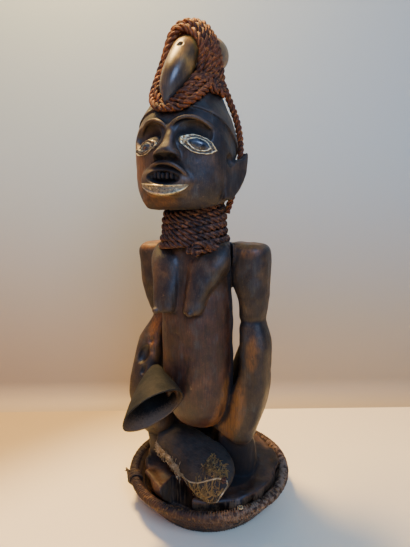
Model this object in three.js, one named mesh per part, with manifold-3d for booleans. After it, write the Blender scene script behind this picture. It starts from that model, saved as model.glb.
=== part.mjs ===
import * as THREE from 'three';
import { mergeVertices } from 'three/addons/utils/BufferGeometryUtils.js';
import { LoftGeometry } from 'three/addons/geometries/LoftGeometry.js';
import Module from 'manifold-3d';

// A squatting wooden power figure on a round base, which stands in a coiled basket tray.
// Millimetres, +Z up, the face towards -Y, the origin under the middle of the tray.

// Driving dimensions of the carving
const baseRadius = 104;
const baseThickness = 52;
const baseFootRadius = 73;
const baseOffset = 4;
const notchWidth = 43;
const notchDepth = 34;
const notchFloor = 8;
const notchTurn = 0.14;
const bodyHeight = 580;
const capStep = 2;
const capSlope = 0.54;
const earThickness = 9;
const faceTurn = 0.5;
const eyeTilt = 0.22;

// Driving dimensions of the tray, which is as wide as the base that it holds
const trayGap = 3.5;
const trayRimHeight = 46;
const trayWall = 7;
const trayCoils = 3;
const coilRidge = 3;
const rimCoilRadius = 6.5;
const knotTurn = -2.47;
const knotSize = [8, 6, 7];

// Driving dimensions of the added pieces
const ropeRadius = 4.8;
const strandRadius = 4.6;
const neckTurns = 6;
const neckRopeRadius = 43;
const neckRopeSpread = 6;
const neckBore = 24;
const hoodStrands = 5;
const hoodDepth = 11;
const fanStrands = 4;
const nostrilRadius = 2.4;
const nostrilDepth = 10;
const cupMouthRadius = 46;
const cupThroatRadius = 7;
const cupWall = 3.2;
const cupBottom = 9;
const eyeHalfLength = 22;
const eyeHalfHeight = 9.5;
const eyeFoil = 3;
const lipStripRadius = 3.6;
const packetHalfWidth = 36;
const packetHalfThickness = 19;
const clearance = 0.3;

const seat = trayWall + clearance;
const baseTop = seat + baseThickness;
const trayFootRadius = baseFootRadius + baseOffset + trayGap + trayWall;
const trayRimRadius = baseRadius + baseOffset + trayGap + rimCoilRadius;

// The carving above the base is given on a grid of its own,
// in levels of [height, x, y, half width, half depth].
const torsoLevels = [
  [66, 3, -28, 18, 18], [76, 3, -32, 30, 31], [92, 3, -35, 40, 41], [112, 2, -36, 46, 46],
  [140, 1, -36, 50, 48], [220, 1, -36, 50, 46], [270, 1, -36, 49, 43], [312, 0, -36, 48, 40],
  [332, 0, -36, 43, 36], [343, 0, -36, 35, 33], [372, 0, -38, 33, 32], [400, 0, -42, 33, 32],
];
const shoulderLevels = [
  [282, 0, -12, 66, 14], [294, 0, -12, 74, 20], [316, 0, -12, 76, 23], [336, 0, -12, 76, 22],
  [342, 0, -12, 72, 18],
];
const leftArmLevels = [
  [218, 83, -14, 10, 10], [235, 77, -13, 16, 18], [248, 77, -13, 18, 21], [266, 77, -12, 20, 24],
  [287, 73, -11, 25, 27], [318, 71, -10, 28, 28], [334, 70, -10, 28, 28], [343, 70, -10, 21, 21],
];
const rightArmLevels = [
  [218, -64, -16, 10, 10], [235, -65, -15, 16, 18], [250, -69, -14, 19, 21], [266, -71, -13, 22, 24],
  [287, -71, -12, 26, 27], [318, -72, -11, 28, 28], [334, -72, -11, 28, 28], [343, -70, -11, 21, 21],
];
const leftShinLevels = [
  [239, 78, -14, 9, 10], [235, 78, -15, 15, 17], [222, 79, -16, 19, 20], [200, 82, -17, 21, 23],
  [165, 82, -18, 21, 25], [138, 77, -19, 25, 26], [110, 65, -20, 31, 27], [84, 55, -21, 33, 26],
  [64, 49, -22, 32, 24], [48, 46, -21, 24, 16],
];
const rightShinLevels = [
  [239, -63, -17, 8, 9], [234, -63, -18, 14, 16], [220, -68, -19, 18, 19], [203, -77, -22, 20, 22],
  [185, -80, -26, 22, 24], [150, -85, -33, 23, 26], [129, -86, -36, 25, 27], [108, -85, -37, 27, 27],
  [70, -77, -35, 28, 25], [44, -70, -29, 21, 17],
];
const leftFootLevels = [[-8, 46, 8, 27, 28], [12, 46, 5, 23, 24], [60, 48, -8, 20, 20]];
const rightFootLevels = [[-8, -70, -16, 24, 28], [12, -70, -17, 22, 24], [58, -72, -26, 20, 20]];
const headLevels = [
  [389, -2, -60, 44, 38], [393, -2, -60, 51, 44], [404, -2, -59, 58, 50], [420, -2, -58, 63, 53],
  [448, -2, -58, 64.5, 54], [470, -2, -58, 64.5, 54], [485, -2, -57, 62, 52], [500, -2, -55, 57, 48],
  [515, -2, -51, 49, 43], [530, -2, -46, 41, 37], [545, -2, -41, 34, 31], [560, -2, -36, 27, 25],
  [572, -2, -33, 19, 18], [580, -2, -32, 8, 8],
];
const crownLevel = headLevels[headLevels.length - 1];
const unit = bodyHeight / crownLevel[0];
const noseLevels = [
  [488, 2, -106, 4, 5], [478, 2, -108, 6, 8], [464, 1, -110, 10, 10], [454, 1, -111, 16, 12],
  [448, 1, -109, 17, 10],
];

// Rounded forms of the face are given as [x, y, height, half width, half depth, half height].
const leftSocket = [34, -110, 476, 27, 14, 18];
const rightSocket = [-31, -110, 476, 27, 14, 18];
const leftEye = [35, -95, 462, 25, 10, 13];
const rightEye = [-32, -95, 462, 25, 10, 13];
const lipSwelling = [-4, -105, 425, 36, 16, 21];
const mouthHollow = [-3, -123, 430, 24, 15, 9];

// Limbs and cords are given as [x, y, height, radius] along their middle line.
const leftThigh = [
  [72, -8, 232, 12], [69, 12, 196, 18], [57, 24, 152, 23], [44, 33, 98, 27], [30, 36, 50, 30],
  [16, 36, 20, 24],
];
const leftBreast = [
  [30, -54, 344, 12], [30, -62, 328, 22], [27, -72, 300, 21], [22, -83, 274, 15], [19, -91, 258, 8],
  [18, -94, 254, 4],
];
const rightBreast = [
  [-26, -54, 344, 12], [-27, -62, 328, 21], [-28, -72, 300, 21], [-31, -82, 276, 18],
  [-35, -91, 260, 9], [-37, -95, 256, 4],
];
const leftBrow = [
  [3, -108, 482, 4], [14, -110, 491, 4], [28, -106, 495, 4], [44, -95, 489, 4], [54, -83, 475, 4],
  [59, -73, 458, 3],
];
const lipStrip = [
  [-37, -98, 424], [-22, -113, 415], [-3, -118, 411], [16, -113, 415], [31, -98, 424],
];
const birdHead = [
  [-1, -102, 513, 1.5], [-1, -100, 524, 7], [-1, -96, 536, 13], [0, -88, 550, 18.5],
  [0, -77, 566, 21.5], [0, -60, 581, 21.5], [1, -38, 589, 20], [2, -12, 595, 20], [3, 12, 603, 23],
  [3, 30, 605, 21], [3, 42, 604, 10], [3, 45, 604, 3],
];
const hoodPath = [
  [-25, -70, 524], [-27, -61, 554], [-19, -55, 594], [1, -52, 622], [21, -51, 607], [32, -54, 570],
  [41, -60, 532],
];
const fanPath = [[-29, -70, 530], [-22, -93, 516], [6, -104, 510], [29, -97, 515], [43, -76, 530]];
const strandPath = [
  [34, -33, 562], [45, -24, 532], [55, -20, 503], [59, -18, 478], [58, -16, 450], [50, -15, 418],
  [41, -22, 384],
];

// How many flat sides each kind of round form has, and how square its outline is (2 is round)
const torsoForm = { sides: 14, power: 2.2 };
const shoulderForm = { sides: 12, power: 3.2 };
const armForm = { sides: 12, power: 2.6 };
const legForm = { sides: 12, power: 2.4 };
const skullForm = { sides: 18, power: 2.3 };
const noseForm = { sides: 10, power: 2 };
const discSides = 28;
const ropeSides = 8;
const neckSides = 14;
const cupSides = 14;
const packetSides = 12;

const wasm = await Module();
wasm.setup();

const at = (x, y, height) => new THREE.Vector3(x * unit, y * unit, baseTop + height * unit);

// A closed geometry as a solid that can be joined and cut.
function solid(geometry) {
  const bare = new THREE.BufferGeometry();
  bare.setAttribute('position', geometry.attributes.position);
  bare.setIndex(geometry.index);
  const merged = mergeVertices(bare);
  const corners = merged.index.array;
  const kept = [];
  for (let i = 0; i < corners.length; i += 3) {
    const [a, b, c] = [corners[i], corners[i + 1], corners[i + 2]];
    if (a !== b && b !== c && c !== a) kept.push(a, b, c);
  }
  return new wasm.Manifold(new wasm.Mesh({
    numProp: 3,
    vertProperties: merged.attributes.position.array,
    triVerts: new Uint32Array(kept),
  }));
}

function join(parts) {
  return parts.reduce((whole, part) => whole.add(part));
}

function loft(sections) {
  return solid(new LoftGeometry(sections, { capStart: true, capEnd: true }));
}

// Evenly spaced angles round a full turn
function turns(sides) {
  return Array.from({ length: sides }, (_, i) => (i / sides) * 2 * Math.PI);
}

// A ring of points round a centre, in the plane of two directions.
function ring(centre, right, up, halfWidth, halfHeight, sides) {
  return turns(sides).map((angle) => centre.clone()
    .addScaledVector(right, halfWidth * Math.cos(angle))
    .addScaledVector(up, halfHeight * Math.sin(angle)));
}

// A solid through a table of levels, larger all round by grow.
function stack(levels, { sides, power }, grow = 0) {
  const upward = levels[0][0] < levels[levels.length - 1][0] ? levels : [...levels].reverse();
  const squared = (value) => Math.sign(value) * Math.abs(value) ** (2 / power);
  return loft(upward.map(([height, x, y, halfWidth, halfDepth], i) => {
    const centre = at(x, y, height);
    if (i === 0) centre.z -= grow;
    if (i === upward.length - 1) centre.z += grow;
    return turns(sides).map((angle) => new THREE.Vector3(
      centre.x + (halfWidth * unit + grow) * squared(Math.cos(angle)),
      centre.y + (halfDepth * unit + grow) * squared(Math.sin(angle)),
      centre.z,
    ));
  }));
}

// A round limb along a curved middle line, with a radius at each of its points.
function limb(rows, sides, steps, grow = 0) {
  const curve = new THREE.CatmullRomCurve3(rows.map(([x, y, height]) => at(x, y, height)));
  const frames = curve.computeFrenetFrames(steps, false);
  const sections = [];
  for (let i = 0; i <= steps; i++) {
    const place = (i / steps) * (rows.length - 1);
    const before = Math.min(Math.floor(place), rows.length - 2);
    const share = THREE.MathUtils.lerp(rows[before][3], rows[before + 1][3], place - before);
    const radius = share * unit + grow;
    const middle = curve.getPoint(i / steps);
    sections.push(ring(middle, frames.normals[i], frames.binormals[i], radius, radius, sides));
  }
  return loft(sections);
}

function mirrored(rows) {
  return rows.map(([x, ...rest]) => [-x, ...rest]);
}

// A round cord of one thickness along a curved route.
function cord(rows, radius, steps) {
  const route = new THREE.CatmullRomCurve3(rows.map(([x, y, height]) => at(x, y, height)));
  const section = new THREE.Shape(turns(ropeSides).map(
    (angle) => new THREE.Vector2(radius * Math.cos(angle), radius * Math.sin(angle)),
  ));
  return solid(new THREE.ExtrudeGeometry(section, { steps, extrudePath: route }));
}

// An egg shape, tilted sideways and then turned about the upright axis.
function egg(centre, [across, deep, high], turn = 0, tilt = 0) {
  const shape = new THREE.SphereGeometry(1, 12, 7).rotateX(Math.PI / 2);
  shape.scale(across, deep, high).rotateY(tilt).rotateZ(turn);
  return solid(shape.translate(centre.x, centre.y, centre.z));
}

function carvedEgg([x, y, height, ...halves], turn, grow) {
  return egg(at(x, y, height), halves.map((half) => half * unit + grow), turn);
}

// Strands of rope lying side by side along a curved path, each a half-round ridge of the bundle.
function bundle(rows, strands, steps, side, depth, grow = 0) {
  const curve = new THREE.CatmullRomCurve3(rows.map(([x, y, height]) => at(x, y, height)));
  const sections = [];
  for (let i = 0; i <= steps; i++) {
    const middle = curve.getPoint(i / steps);
    const tangent = curve.getTangent(i / steps);
    const across = side.clone().addScaledVector(tangent, -side.dot(tangent)).normalize();
    const outward = new THREE.Vector3().crossVectors(tangent, across);
    const ridge = (u, v) => middle.clone().addScaledVector(across, u).addScaledVector(outward, v);
    const half = strands * ropeRadius + grow;
    const points = [ridge(-half, -depth - grow), ridge(half, -depth - grow), ridge(half, grow)];
    for (let k = strands - 1; k >= 0; k--) {
      const centre = (2 * k + 1 - strands) * ropeRadius;
      points.push(ridge(centre, ropeRadius + grow));
      if (k > 0) points.push(ridge(centre - ropeRadius, grow));
    }
    points.push(ridge(-half, grow));
    sections.push(points);
  }
  return loft(sections);
}

// The side of the round base, as shares of its spread beyond the foot and of its thickness
const baseCurve = [[0, 0], [0.13, 0.08], [0.66, 0.42], [0.95, 0.72], [1, 0.92], [0.95, 1]];
const baseSide = baseCurve.map(([spread, rise]) => new THREE.Vector2(
  baseFootRadius + (baseRadius - baseFootRadius) * spread,
  baseThickness * rise,
));

// The round base, with the piece that has broken out of its front edge left out
function carvedBase(grow = 0) {
  const side = baseSide.map(({ x, y }) => new THREE.Vector2(x + grow, y));
  side[0].y -= grow;
  side[side.length - 1].y += grow;
  const profile = [new THREE.Vector2(0, -grow), ...side, new THREE.Vector2(0, baseThickness + grow)];
  const disc = new THREE.LatheGeometry(profile, discSides).rotateX(Math.PI / 2);
  const notch = new THREE.BoxGeometry(
    notchWidth - 2 * grow,
    2 * (notchDepth - grow),
    baseThickness,
  );
  notch.translate(0, -baseRadius, notchFloor + baseThickness / 2 + grow).rotateZ(-notchTurn);
  return solid(disc).subtract(solid(notch)).translate(baseOffset, 0, seat);
}

// The body: torso, shoulders, arms that end on the knees, folded legs and the seat
function carvedBody(grow = 0) {
  return join([
    stack(torsoLevels, torsoForm, grow),
    stack(shoulderLevels, shoulderForm, grow),
    stack(leftArmLevels, armForm, grow),
    stack(rightArmLevels, armForm, grow),
    stack(leftShinLevels, legForm, grow),
    stack(rightShinLevels, legForm, grow),
    stack(leftFootLevels, legForm, grow),
    stack(rightFootLevels, legForm, grow),
    limb(leftThigh, 8, 5, grow),
    limb(mirrored(leftThigh), 8, 5, grow),
    limb(leftBreast, 10, 7, grow),
    limb(rightBreast, 10, 7, grow),
  ]);
}

// The smooth cap over the crown: the skull grown by one step, above a plane that falls backwards
function carvedCap(grow) {
  const levels = headLevels.map(([height, x, y, a, b]) => [height, x, y, a + capStep, b + capStep]);
  const above = new THREE.BoxGeometry(bodyHeight, bodyHeight, bodyHeight);
  above.translate(0, 0, bodyHeight / 2).rotateX(-capSlope);
  const front = at(0, -105, 505);
  above.translate(front.x, front.y, front.z - grow);
  return stack(levels, skullForm, grow).intersect(solid(above));
}

function ear(side, grow) {
  const points = [
    [-12, 4], [2, 4], [13, 13], [24, 26], [31, 38], [33, 52], [33, 64], [24, 55], [8, 51], [-12, 51],
  ];
  const outlineShape = new THREE.Shape(points.map(([u, v]) => new THREE.Vector2(u * unit, v * unit)));
  const thickness = earThickness + 2 * grow;
  const flat = new THREE.ExtrudeGeometry(outlineShape, { depth: thickness, bevelEnabled: false });
  flat.translate(0, 0, -thickness / 2);
  const across = new THREE.Vector3(0.35 * side, 0.937, 0);
  const up = new THREE.Vector3(0, 0, 1);
  const outward = new THREE.Vector3().crossVectors(across, up);
  const place = new THREE.Matrix4().makeBasis(across, up, outward);
  return solid(flat.applyMatrix4(place.setPosition(at(60 * side, -62, 397))));
}

// The head: a pointed cap, arched brows over hollow eye sockets, nose, parted lips and ears
function carvedHead(grow = 0) {
  const hollowed = stack(headLevels, skullForm, grow)
    .add(carvedCap(grow))
    .subtract(carvedEgg(leftSocket, faceTurn, -grow))
    .subtract(carvedEgg(rightSocket, -faceTurn, -grow));
  return join([
    hollowed,
    carvedEgg(lipSwelling, 0, grow),
    carvedEgg(leftEye, faceTurn, grow),
    carvedEgg(rightEye, -faceTurn, grow),
    stack(noseLevels, noseForm, grow),
    limb(leftBrow, 6, 7, grow),
    limb(mirrored(leftBrow), 6, 7, grow),
    ear(1, grow),
    ear(-1, grow),
  ]).subtract(carvedEgg(mouthHollow, 0, -grow));
}

const carved = (grow) => join([carvedBase(grow), carvedBody(grow), carvedHead(grow)]);
const carvedFigure = carved(0);
const aroundFigure = carved(clearance);

// The bird's head with its beak hanging over the forehead, a small nostril in its upper side
const carvedBird = (grow) => limb(birdHead, 12, 11, grow);
const nostril = new THREE.CylinderGeometry(nostrilRadius, nostrilRadius, nostrilDepth, 8);
nostril.rotateX(0.25 * Math.PI);
const nostrilPlace = at(3, -86, 594);
nostril.translate(nostrilPlace.x, nostrilPlace.y, nostrilPlace.z);
const bird = carvedBird(0).subtract(aroundFigure).subtract(solid(nostril));

// The rope hood over the bird's head, and the strands that run round under its beak
const frontToBack = new THREE.Vector3(0, 0.94, 0.34);
const upTheBrow = new THREE.Vector3(0, 0.6, 0.8);
function lashing(grow) {
  const hood = bundle(hoodPath, hoodStrands, 8, frontToBack, hoodDepth, grow);
  const fan = bundle(fanPath, fanStrands, 6, upTheBrow, ropeRadius, grow);
  return hood.add(fan);
}
const headRope = lashing(0).subtract(aroundFigure).subtract(carvedBird(clearance));

// The rope wound round the neck, a ridge for each turn, wider towards the foot
function neckWinding(grow) {
  const foot = at(0, -39, 331);
  const groove = 0.6 * ropeRadius;
  const outer = (turn) => neckRopeRadius + neckRopeSpread * (1 - turn / neckTurns) + grow;
  const top = 2 * ropeRadius * neckTurns + grow;
  const profile = [new THREE.Vector2(neckBore, -grow)];
  profile.push(new THREE.Vector2(outer(0) - groove, -grow));
  for (let turn = 0; turn < neckTurns; turn++) {
    profile.push(new THREE.Vector2(outer(turn), (2 * turn + 1) * ropeRadius));
    const end = turn === neckTurns - 1 ? top : 2 * (turn + 1) * ropeRadius;
    profile.push(new THREE.Vector2(outer(turn + 1) - groove, end));
  }
  profile.push(new THREE.Vector2(neckBore, top), profile[0].clone());
  const winding = new THREE.LatheGeometry(profile, neckSides).rotateX(Math.PI / 2);
  return solid(winding.translate(foot.x, foot.y, foot.z));
}
const neckRope = neckWinding(0).subtract(aroundFigure);

// The single strand that hangs from the hood to the neck winding, behind the ear
const strand = cord(strandPath, strandRadius, 8)
  .subtract(aroundFigure)
  .subtract(lashing(clearance))
  .subtract(neckWinding(clearance));

// The metal foil round the eyes and along the lower lip
function eyeCover([x, y, height, , halfDepth], turn, tilt) {
  const size = [eyeHalfLength * unit, halfDepth * unit + eyeFoil, eyeHalfHeight * unit];
  return egg(at(x, y, height), size, turn, tilt).subtract(aroundFigure);
}
const lipFoil = cord(lipStrip, lipStripRadius * unit, 10).subtract(aroundFigure);

// The thin-walled cup: rings from the closed throat to the wide mouth, the hollow cut out
const throat = at(-54, -56, 173);
const mouth = at(-26, -118, 130);
const throatWay = new THREE.Vector3(0.45, -0.6, -0.65).normalize();
const mouthWay = new THREE.Vector3(0.8, -0.46, -0.385).normalize();
const bend = throat.clone().lerp(mouth, 0.5).addScaledVector(mouthWay, -3 * unit);
const cupLine = new THREE.QuadraticBezierCurve3(throat, bend, mouth);

function bell(start, thinner, beyond) {
  const steps = 5;
  const sections = [];
  for (let i = 0; i <= steps; i++) {
    const t = THREE.MathUtils.lerp(start, 1, i / steps);
    const way = throatWay.clone().lerp(mouthWay, t).normalize();
    const sideways = new THREE.Vector3(0, 0, 1).cross(way).normalize();
    const upward = new THREE.Vector3().crossVectors(way, sideways);
    const radius = THREE.MathUtils.lerp(cupThroatRadius, cupMouthRadius, t ** 0.9) - thinner;
    const centre = cupLine.getPoint(t).addScaledVector(way, i === steps ? beyond : 0);
    sections.push(ring(centre, sideways, upward, radius, radius, cupSides));
  }
  return loft(sections);
}
const hollow = bell(cupBottom / cupLine.getLength(), cupWall, cupWall);
const cup = bell(0, 0, 0).subtract(hollow).subtract(aroundFigure);

// The hide packet that leans on the legs, its front edge on the base,
// as [x, y, height, share of the half width, share of the half thickness]
const packetRows = [
  [-66, -44, 42, 0.25, 0.3], [-58, -44, 41, 0.7, 0.75], [-34, -44, 37, 0.92, 0.95], [0, -52, 32, 1, 1],
  [30, -60, 28, 1, 0.95], [52, -68, 24, 0.85, 0.75], [63, -72, 21, 0.5, 0.4], [67, -74, 20, 0.2, 0.2],
];

function hidePacket() {
  const middles = packetRows.map(([x, y, height]) => at(x, y, height));
  const along = middles[middles.length - 1].clone().sub(middles[0]).normalize();
  const across = new THREE.Vector3(0.25, 0.86, 0.44);
  across.addScaledVector(along, -across.dot(along)).normalize();
  const upward = new THREE.Vector3().crossVectors(along, across);
  return loft(packetRows.map(([, , , wide, thick], i) => ring(
    middles[i], across, upward, packetHalfWidth * wide, packetHalfThickness * thick, packetSides,
  )));
}
const packet = hidePacket().subtract(aroundFigure);

// The tray: coils stacked outwards up to a thicker rim coil, with a knot on the rim.
// Its inside follows the side of the base at the tray's gap.
function coiledTray() {
  const rimPoint = (angle) => new THREE.Vector2(
    trayRimRadius + rimCoilRadius * Math.cos(angle * Math.PI),
    trayRimHeight + rimCoilRadius * Math.sin(angle * Math.PI),
  );
  const foot = new THREE.Vector2(trayFootRadius, coilRidge);
  const top = rimPoint(-0.35);
  const profile = [new THREE.Vector2(0, 0), new THREE.Vector2(trayFootRadius - coilRidge, 0)];
  for (let coil = 0; coil < trayCoils; coil++) {
    const crest = foot.clone().lerp(top, (coil + 0.5) / trayCoils);
    crest.add(new THREE.Vector2(coilRidge, -coilRidge));
    profile.push(foot.clone().lerp(top, coil / trayCoils), crest);
  }
  for (const angle of [-0.3, 0, 0.3, 0.65, 1]) profile.push(rimPoint(angle));
  const inside = baseSide.filter(({ y }) => y < baseThickness * 0.7 && seat + y < trayRimHeight);
  for (const { x, y } of inside.reverse()) {
    profile.push(new THREE.Vector2(x + baseOffset + trayGap, y === 0 ? trayWall : seat + y));
  }
  profile.push(new THREE.Vector2(0, trayWall));
  const wall = new THREE.LatheGeometry(profile, discSides).rotateX(Math.PI / 2);
  const knotPlace = new THREE.Vector3(trayRimRadius + rimCoilRadius, 0, trayRimHeight);
  knotPlace.applyAxisAngle(new THREE.Vector3(0, 0, 1), knotTurn);
  return solid(wall).add(egg(knotPlace, knotSize, knotTurn));
}

function piece(name, body, color, roughness, metalness = 0) {
  const { vertProperties, triVerts } = body.getMesh();
  const geometry = new THREE.BufferGeometry();
  geometry.setAttribute('position', new THREE.Float32BufferAttribute(vertProperties, 3));
  geometry.setIndex([...triVerts]);
  geometry.computeVertexNormals();
  const mesh = new THREE.Mesh(geometry, new THREE.MeshStandardMaterial({ color, roughness, metalness }));
  mesh.name = name;
  return mesh;
}

const figure = new THREE.Group();
figure.add(
  piece('carved_figure', carvedFigure, '#4a3428', 0.6),
  piece('bird_head', bird, '#6b5a48', 0.3),
  piece('head_rope', headRope, '#6e3d22', 0.9),
  piece('hanging_rope', strand, '#6e3d22', 0.9),
  piece('neck_rope', neckRope, '#5e3622', 0.9),
  piece('left_eye_foil', eyeCover(leftEye, faceTurn, eyeTilt), '#b9a67c', 0.35, 0.9),
  piece('right_eye_foil', eyeCover(rightEye, -faceTurn, -eyeTilt), '#b9a67c', 0.35, 0.9),
  piece('lip_foil', lipFoil, '#b9a67c', 0.35, 0.9),
  piece('cup', cup, '#4d4740', 0.7),
  piece('hide_packet', packet, '#3d3a36', 0.75),
  piece('basket_tray', coiledTray(), '#7a4a2a', 0.85),
);

export default figure;
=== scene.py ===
# %% [markdown]
# # A power figure: carved wood, a lashed bird's head, rope, foil, hide and basketry
# This lesson dresses a set of plain solids as a real carving. The solids stay where they are,
# and each new piece takes their place. Blender works in metres; the tables here are in
# millimetres, which is how a carver would measure, and one factor turns them to metres.

# %% Load the fixed frame
import math

import bpy
import numpy as np
from mathutils import Matrix


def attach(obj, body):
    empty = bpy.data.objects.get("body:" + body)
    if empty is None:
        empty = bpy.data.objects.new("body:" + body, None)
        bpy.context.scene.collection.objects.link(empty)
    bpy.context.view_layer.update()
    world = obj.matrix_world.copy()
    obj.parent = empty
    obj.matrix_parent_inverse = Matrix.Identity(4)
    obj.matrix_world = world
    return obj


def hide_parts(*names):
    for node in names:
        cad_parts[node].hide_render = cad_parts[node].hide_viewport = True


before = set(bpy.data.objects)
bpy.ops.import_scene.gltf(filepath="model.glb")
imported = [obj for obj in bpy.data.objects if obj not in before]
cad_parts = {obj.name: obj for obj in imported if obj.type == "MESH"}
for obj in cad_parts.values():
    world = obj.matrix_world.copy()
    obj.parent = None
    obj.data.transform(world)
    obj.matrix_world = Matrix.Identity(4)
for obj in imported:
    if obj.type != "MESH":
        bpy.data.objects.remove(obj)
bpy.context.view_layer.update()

MM = 0.001
print("solids:", sorted(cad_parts), "quick look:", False)

# %% [markdown]
# ## The camera
# The photograph was taken from close by, a little above the figure's chest and from its left
# side, so near things look large. The camera stands at the same place with the same field of
# view. Its place and its angles were worked out from the round tray and the upright lines.

# %% Camera
photo_height = 547
photo_focal_pixels = 411
camera_place = np.array([246.0, -552.5, 449.8]) * MM
camera_turn = math.radians(24.22)
camera_pitch = math.radians(8.99)
camera_roll = math.radians(-0.74)

camera_data = bpy.data.cameras.new("camera")
camera_data.sensor_width = 36.0
camera_data.lens = photo_focal_pixels / photo_height * camera_data.sensor_width
camera_data.clip_start = 0.02
camera = bpy.data.objects.new("camera", camera_data)
bpy.context.scene.collection.objects.link(camera)

forward = np.array([
    -math.sin(camera_turn) * math.cos(camera_pitch),
    math.cos(camera_turn) * math.cos(camera_pitch),
    -math.sin(camera_pitch),
])
level_right = np.array([math.cos(camera_turn), math.sin(camera_turn), 0.0])
level_up = np.cross(level_right, forward)
right = math.cos(camera_roll) * level_right + math.sin(camera_roll) * level_up
up = np.cross(right, forward)
camera.matrix_world = Matrix([
    [right[i], up[i], -forward[i], camera_place[i]] for i in range(3)
] + [[0, 0, 0, 1]])
bpy.context.scene.camera = camera
print("camera lens", round(camera_data.lens, 2), "mm")

# %% [markdown]
# ## Nodes and colours
# Every material and every geometry tree below is built from nodes. One helper adds a node with
# its settings and joins its inputs, so that each recipe reads from top to bottom. Colours are
# written as the hex values a paint chart would give, and are turned to linear light here.

# %% Helpers for nodes and colours
def linear(hex_colour):
    """An sRGB hex colour as linear red, green, blue and alpha."""
    parts = [int(hex_colour[i:i + 2], 16) / 255 for i in (1, 3, 5)]
    return [p / 12.92 if p <= 0.04045 else ((p + 0.055) / 1.055) ** 2.4 for p in parts] + [1.0]


def add(tree, kind, inputs=None, stops=(), **settings):
    """Adds a node. Inputs are named, or numbered where names repeat; each is a value, a hex colour
    or another node's output to join it to. Stops are a colour ramp's places and colours."""
    made = tree.nodes.new(kind)
    for name, value in settings.items():
        setattr(made, name, value)
    for socket, value in (inputs or {}).items():
        if isinstance(value, bpy.types.NodeSocket):
            tree.links.new(value, made.inputs[socket])
        elif isinstance(value, str) and value.startswith("#"):
            made.inputs[socket].default_value = linear(value)
        else:
            made.inputs[socket].default_value = value
    for _ in stops[2:]:
        made.color_ramp.elements.new(0.5)
    for place, (position, colour) in enumerate(stops):
        made.color_ramp.elements[place].position = position
        made.color_ramp.elements[place].color = linear(colour)
    return made


def new_material(name, *stored):
    """An empty material, a point's place on its piece, and numbers that are stored on its mesh."""
    material = bpy.data.materials.new(name)
    material.use_nodes = True
    tree = material.node_tree
    tree.nodes.clear()
    shader = add(tree, "ShaderNodeBsdfPrincipled")
    add(tree, "ShaderNodeOutputMaterial", {"Surface": shader.outputs[0]})
    where = add(tree, "ShaderNodeTexCoord").outputs["Object"]
    numbers = [add(tree, "ShaderNodeAttribute", attribute_name=kept).outputs["Fac"] for kept in stored]
    return material, tree, shader, where, *numbers


print("mid grey in linear light:", round(linear("#808080")[0], 3))

# %% [markdown]
# ### Patterns, layers and relief
# A finish is built the way a surface ages. It starts with a cloudy colour, and then thin layers of
# dirt, dust or wear are laid over it, each where a pattern or a stored number shows it. Sizes of
# patterns are millimetres of the real piece.

# %% Helpers for a finish
def noise(tree, place, size, detail=3.0, roughness=0.5, stretch=(1, 1, 1)):
    """A cloudy pattern between 0 and 1 whose patches are about so many millimetres wide."""
    placed = add(tree, "ShaderNodeVectorMath", {0: place, 1: stretch}, operation="MULTIPLY").outputs[0]
    return add(tree, "ShaderNodeTexNoise", {"Vector": placed, "Scale": 1 / (size * MM), "Detail": detail,
                                            "Roughness": roughness}).outputs["Fac"]


def product(tree, *factors):
    """Factors multiplied; each is a number, a pattern, or a soft step in a pattern, which is given
    as (pattern, low, high) and, unless it goes from 0 to 1, what it is below low and above high."""
    found = None
    for factor in factors:
        if isinstance(factor, tuple):
            pattern, low, high, *ends = factor
            at_low, at_high = ends or (0.0, 1.0)
            factor = add(tree, "ShaderNodeMapRange", {
                "Value": pattern, "From Min": low, "From Max": high, "To Min": at_low, "To Max": at_high,
            }, interpolation_type="SMOOTHSTEP").outputs[0]
        found = factor if found is None else add(
            tree, "ShaderNodeMath", {0: found, 1: factor}, operation="MULTIPLY").outputs[0]
    return found


def painted(tree, below, colour, *factors):
    """Lays a colour over what is below, as far as the product of the factors shows it."""
    mix = add(tree, "ShaderNodeMix", {0: product(tree, *factors), 6: below, 7: colour}, data_type="RGBA")
    return mix.outputs[2]


def finish_with(tree, shader, colour, roughness, *relief):
    """Sets colour, roughness and relief, in rows of (pattern, millimetres high, strength)."""
    bump = None
    for pattern, high, strength in relief:
        inputs = {"Height": pattern, "Distance": high * MM, "Strength": strength}
        bump = add(tree, "ShaderNodeBump", inputs if bump is None else {**inputs, "Normal": bump}).outputs[0]
    for socket, value in (("Base Color", colour), ("Roughness", roughness), ("Normal", bump)):
        if isinstance(value, bpy.types.NodeSocket):
            tree.links.new(value, shader.inputs[socket])
        elif value is not None:
            shader.inputs[socket].default_value = value


# %% [markdown]
# ## Lines, and the rope that follows them
# Every rope on the figure is hand-laid plant rope: three yarns laid round each other. Its line
# goes smoothly through given points, and is cut into even steps.

# %% Lines through hand-placed points
def smooth_line(points, step):
    """A smooth line through points of any number of columns, in even steps along its length."""
    rows = np.array(points, float)
    rows = np.vstack([2 * rows[0] - rows[1], rows, 2 * rows[-1] - rows[-2]])
    dense = []
    for a, b, c, d in zip(rows, rows[1:], rows[2:], rows[3:]):
        t = np.linspace(0, 1, 24, endpoint=False)[:, None]
        dense.append(0.5 * (2 * b + (c - a) * t + (2 * a - 5 * b + 4 * c - d) * t ** 2
                            + (3 * b - a - 3 * c + d) * t ** 3))
    dense = np.vstack(dense + [rows[-2:-1]])
    return evenly(dense, step)


def evenly(line, step):
    """The same line with its points an even step apart."""
    gaps = np.linalg.norm(np.diff(line[:, :3], axis=0), axis=1)
    length = np.concatenate([[0], np.cumsum(gaps)])
    places = np.linspace(0, length[-1], max(2, round(length[-1] / step) + 1))
    return np.stack([np.interp(places, length, column) for column in line.T], axis=1)


def line_length(line):
    return float(np.linalg.norm(np.diff(line[:, :3], axis=0), axis=1).sum())


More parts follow.
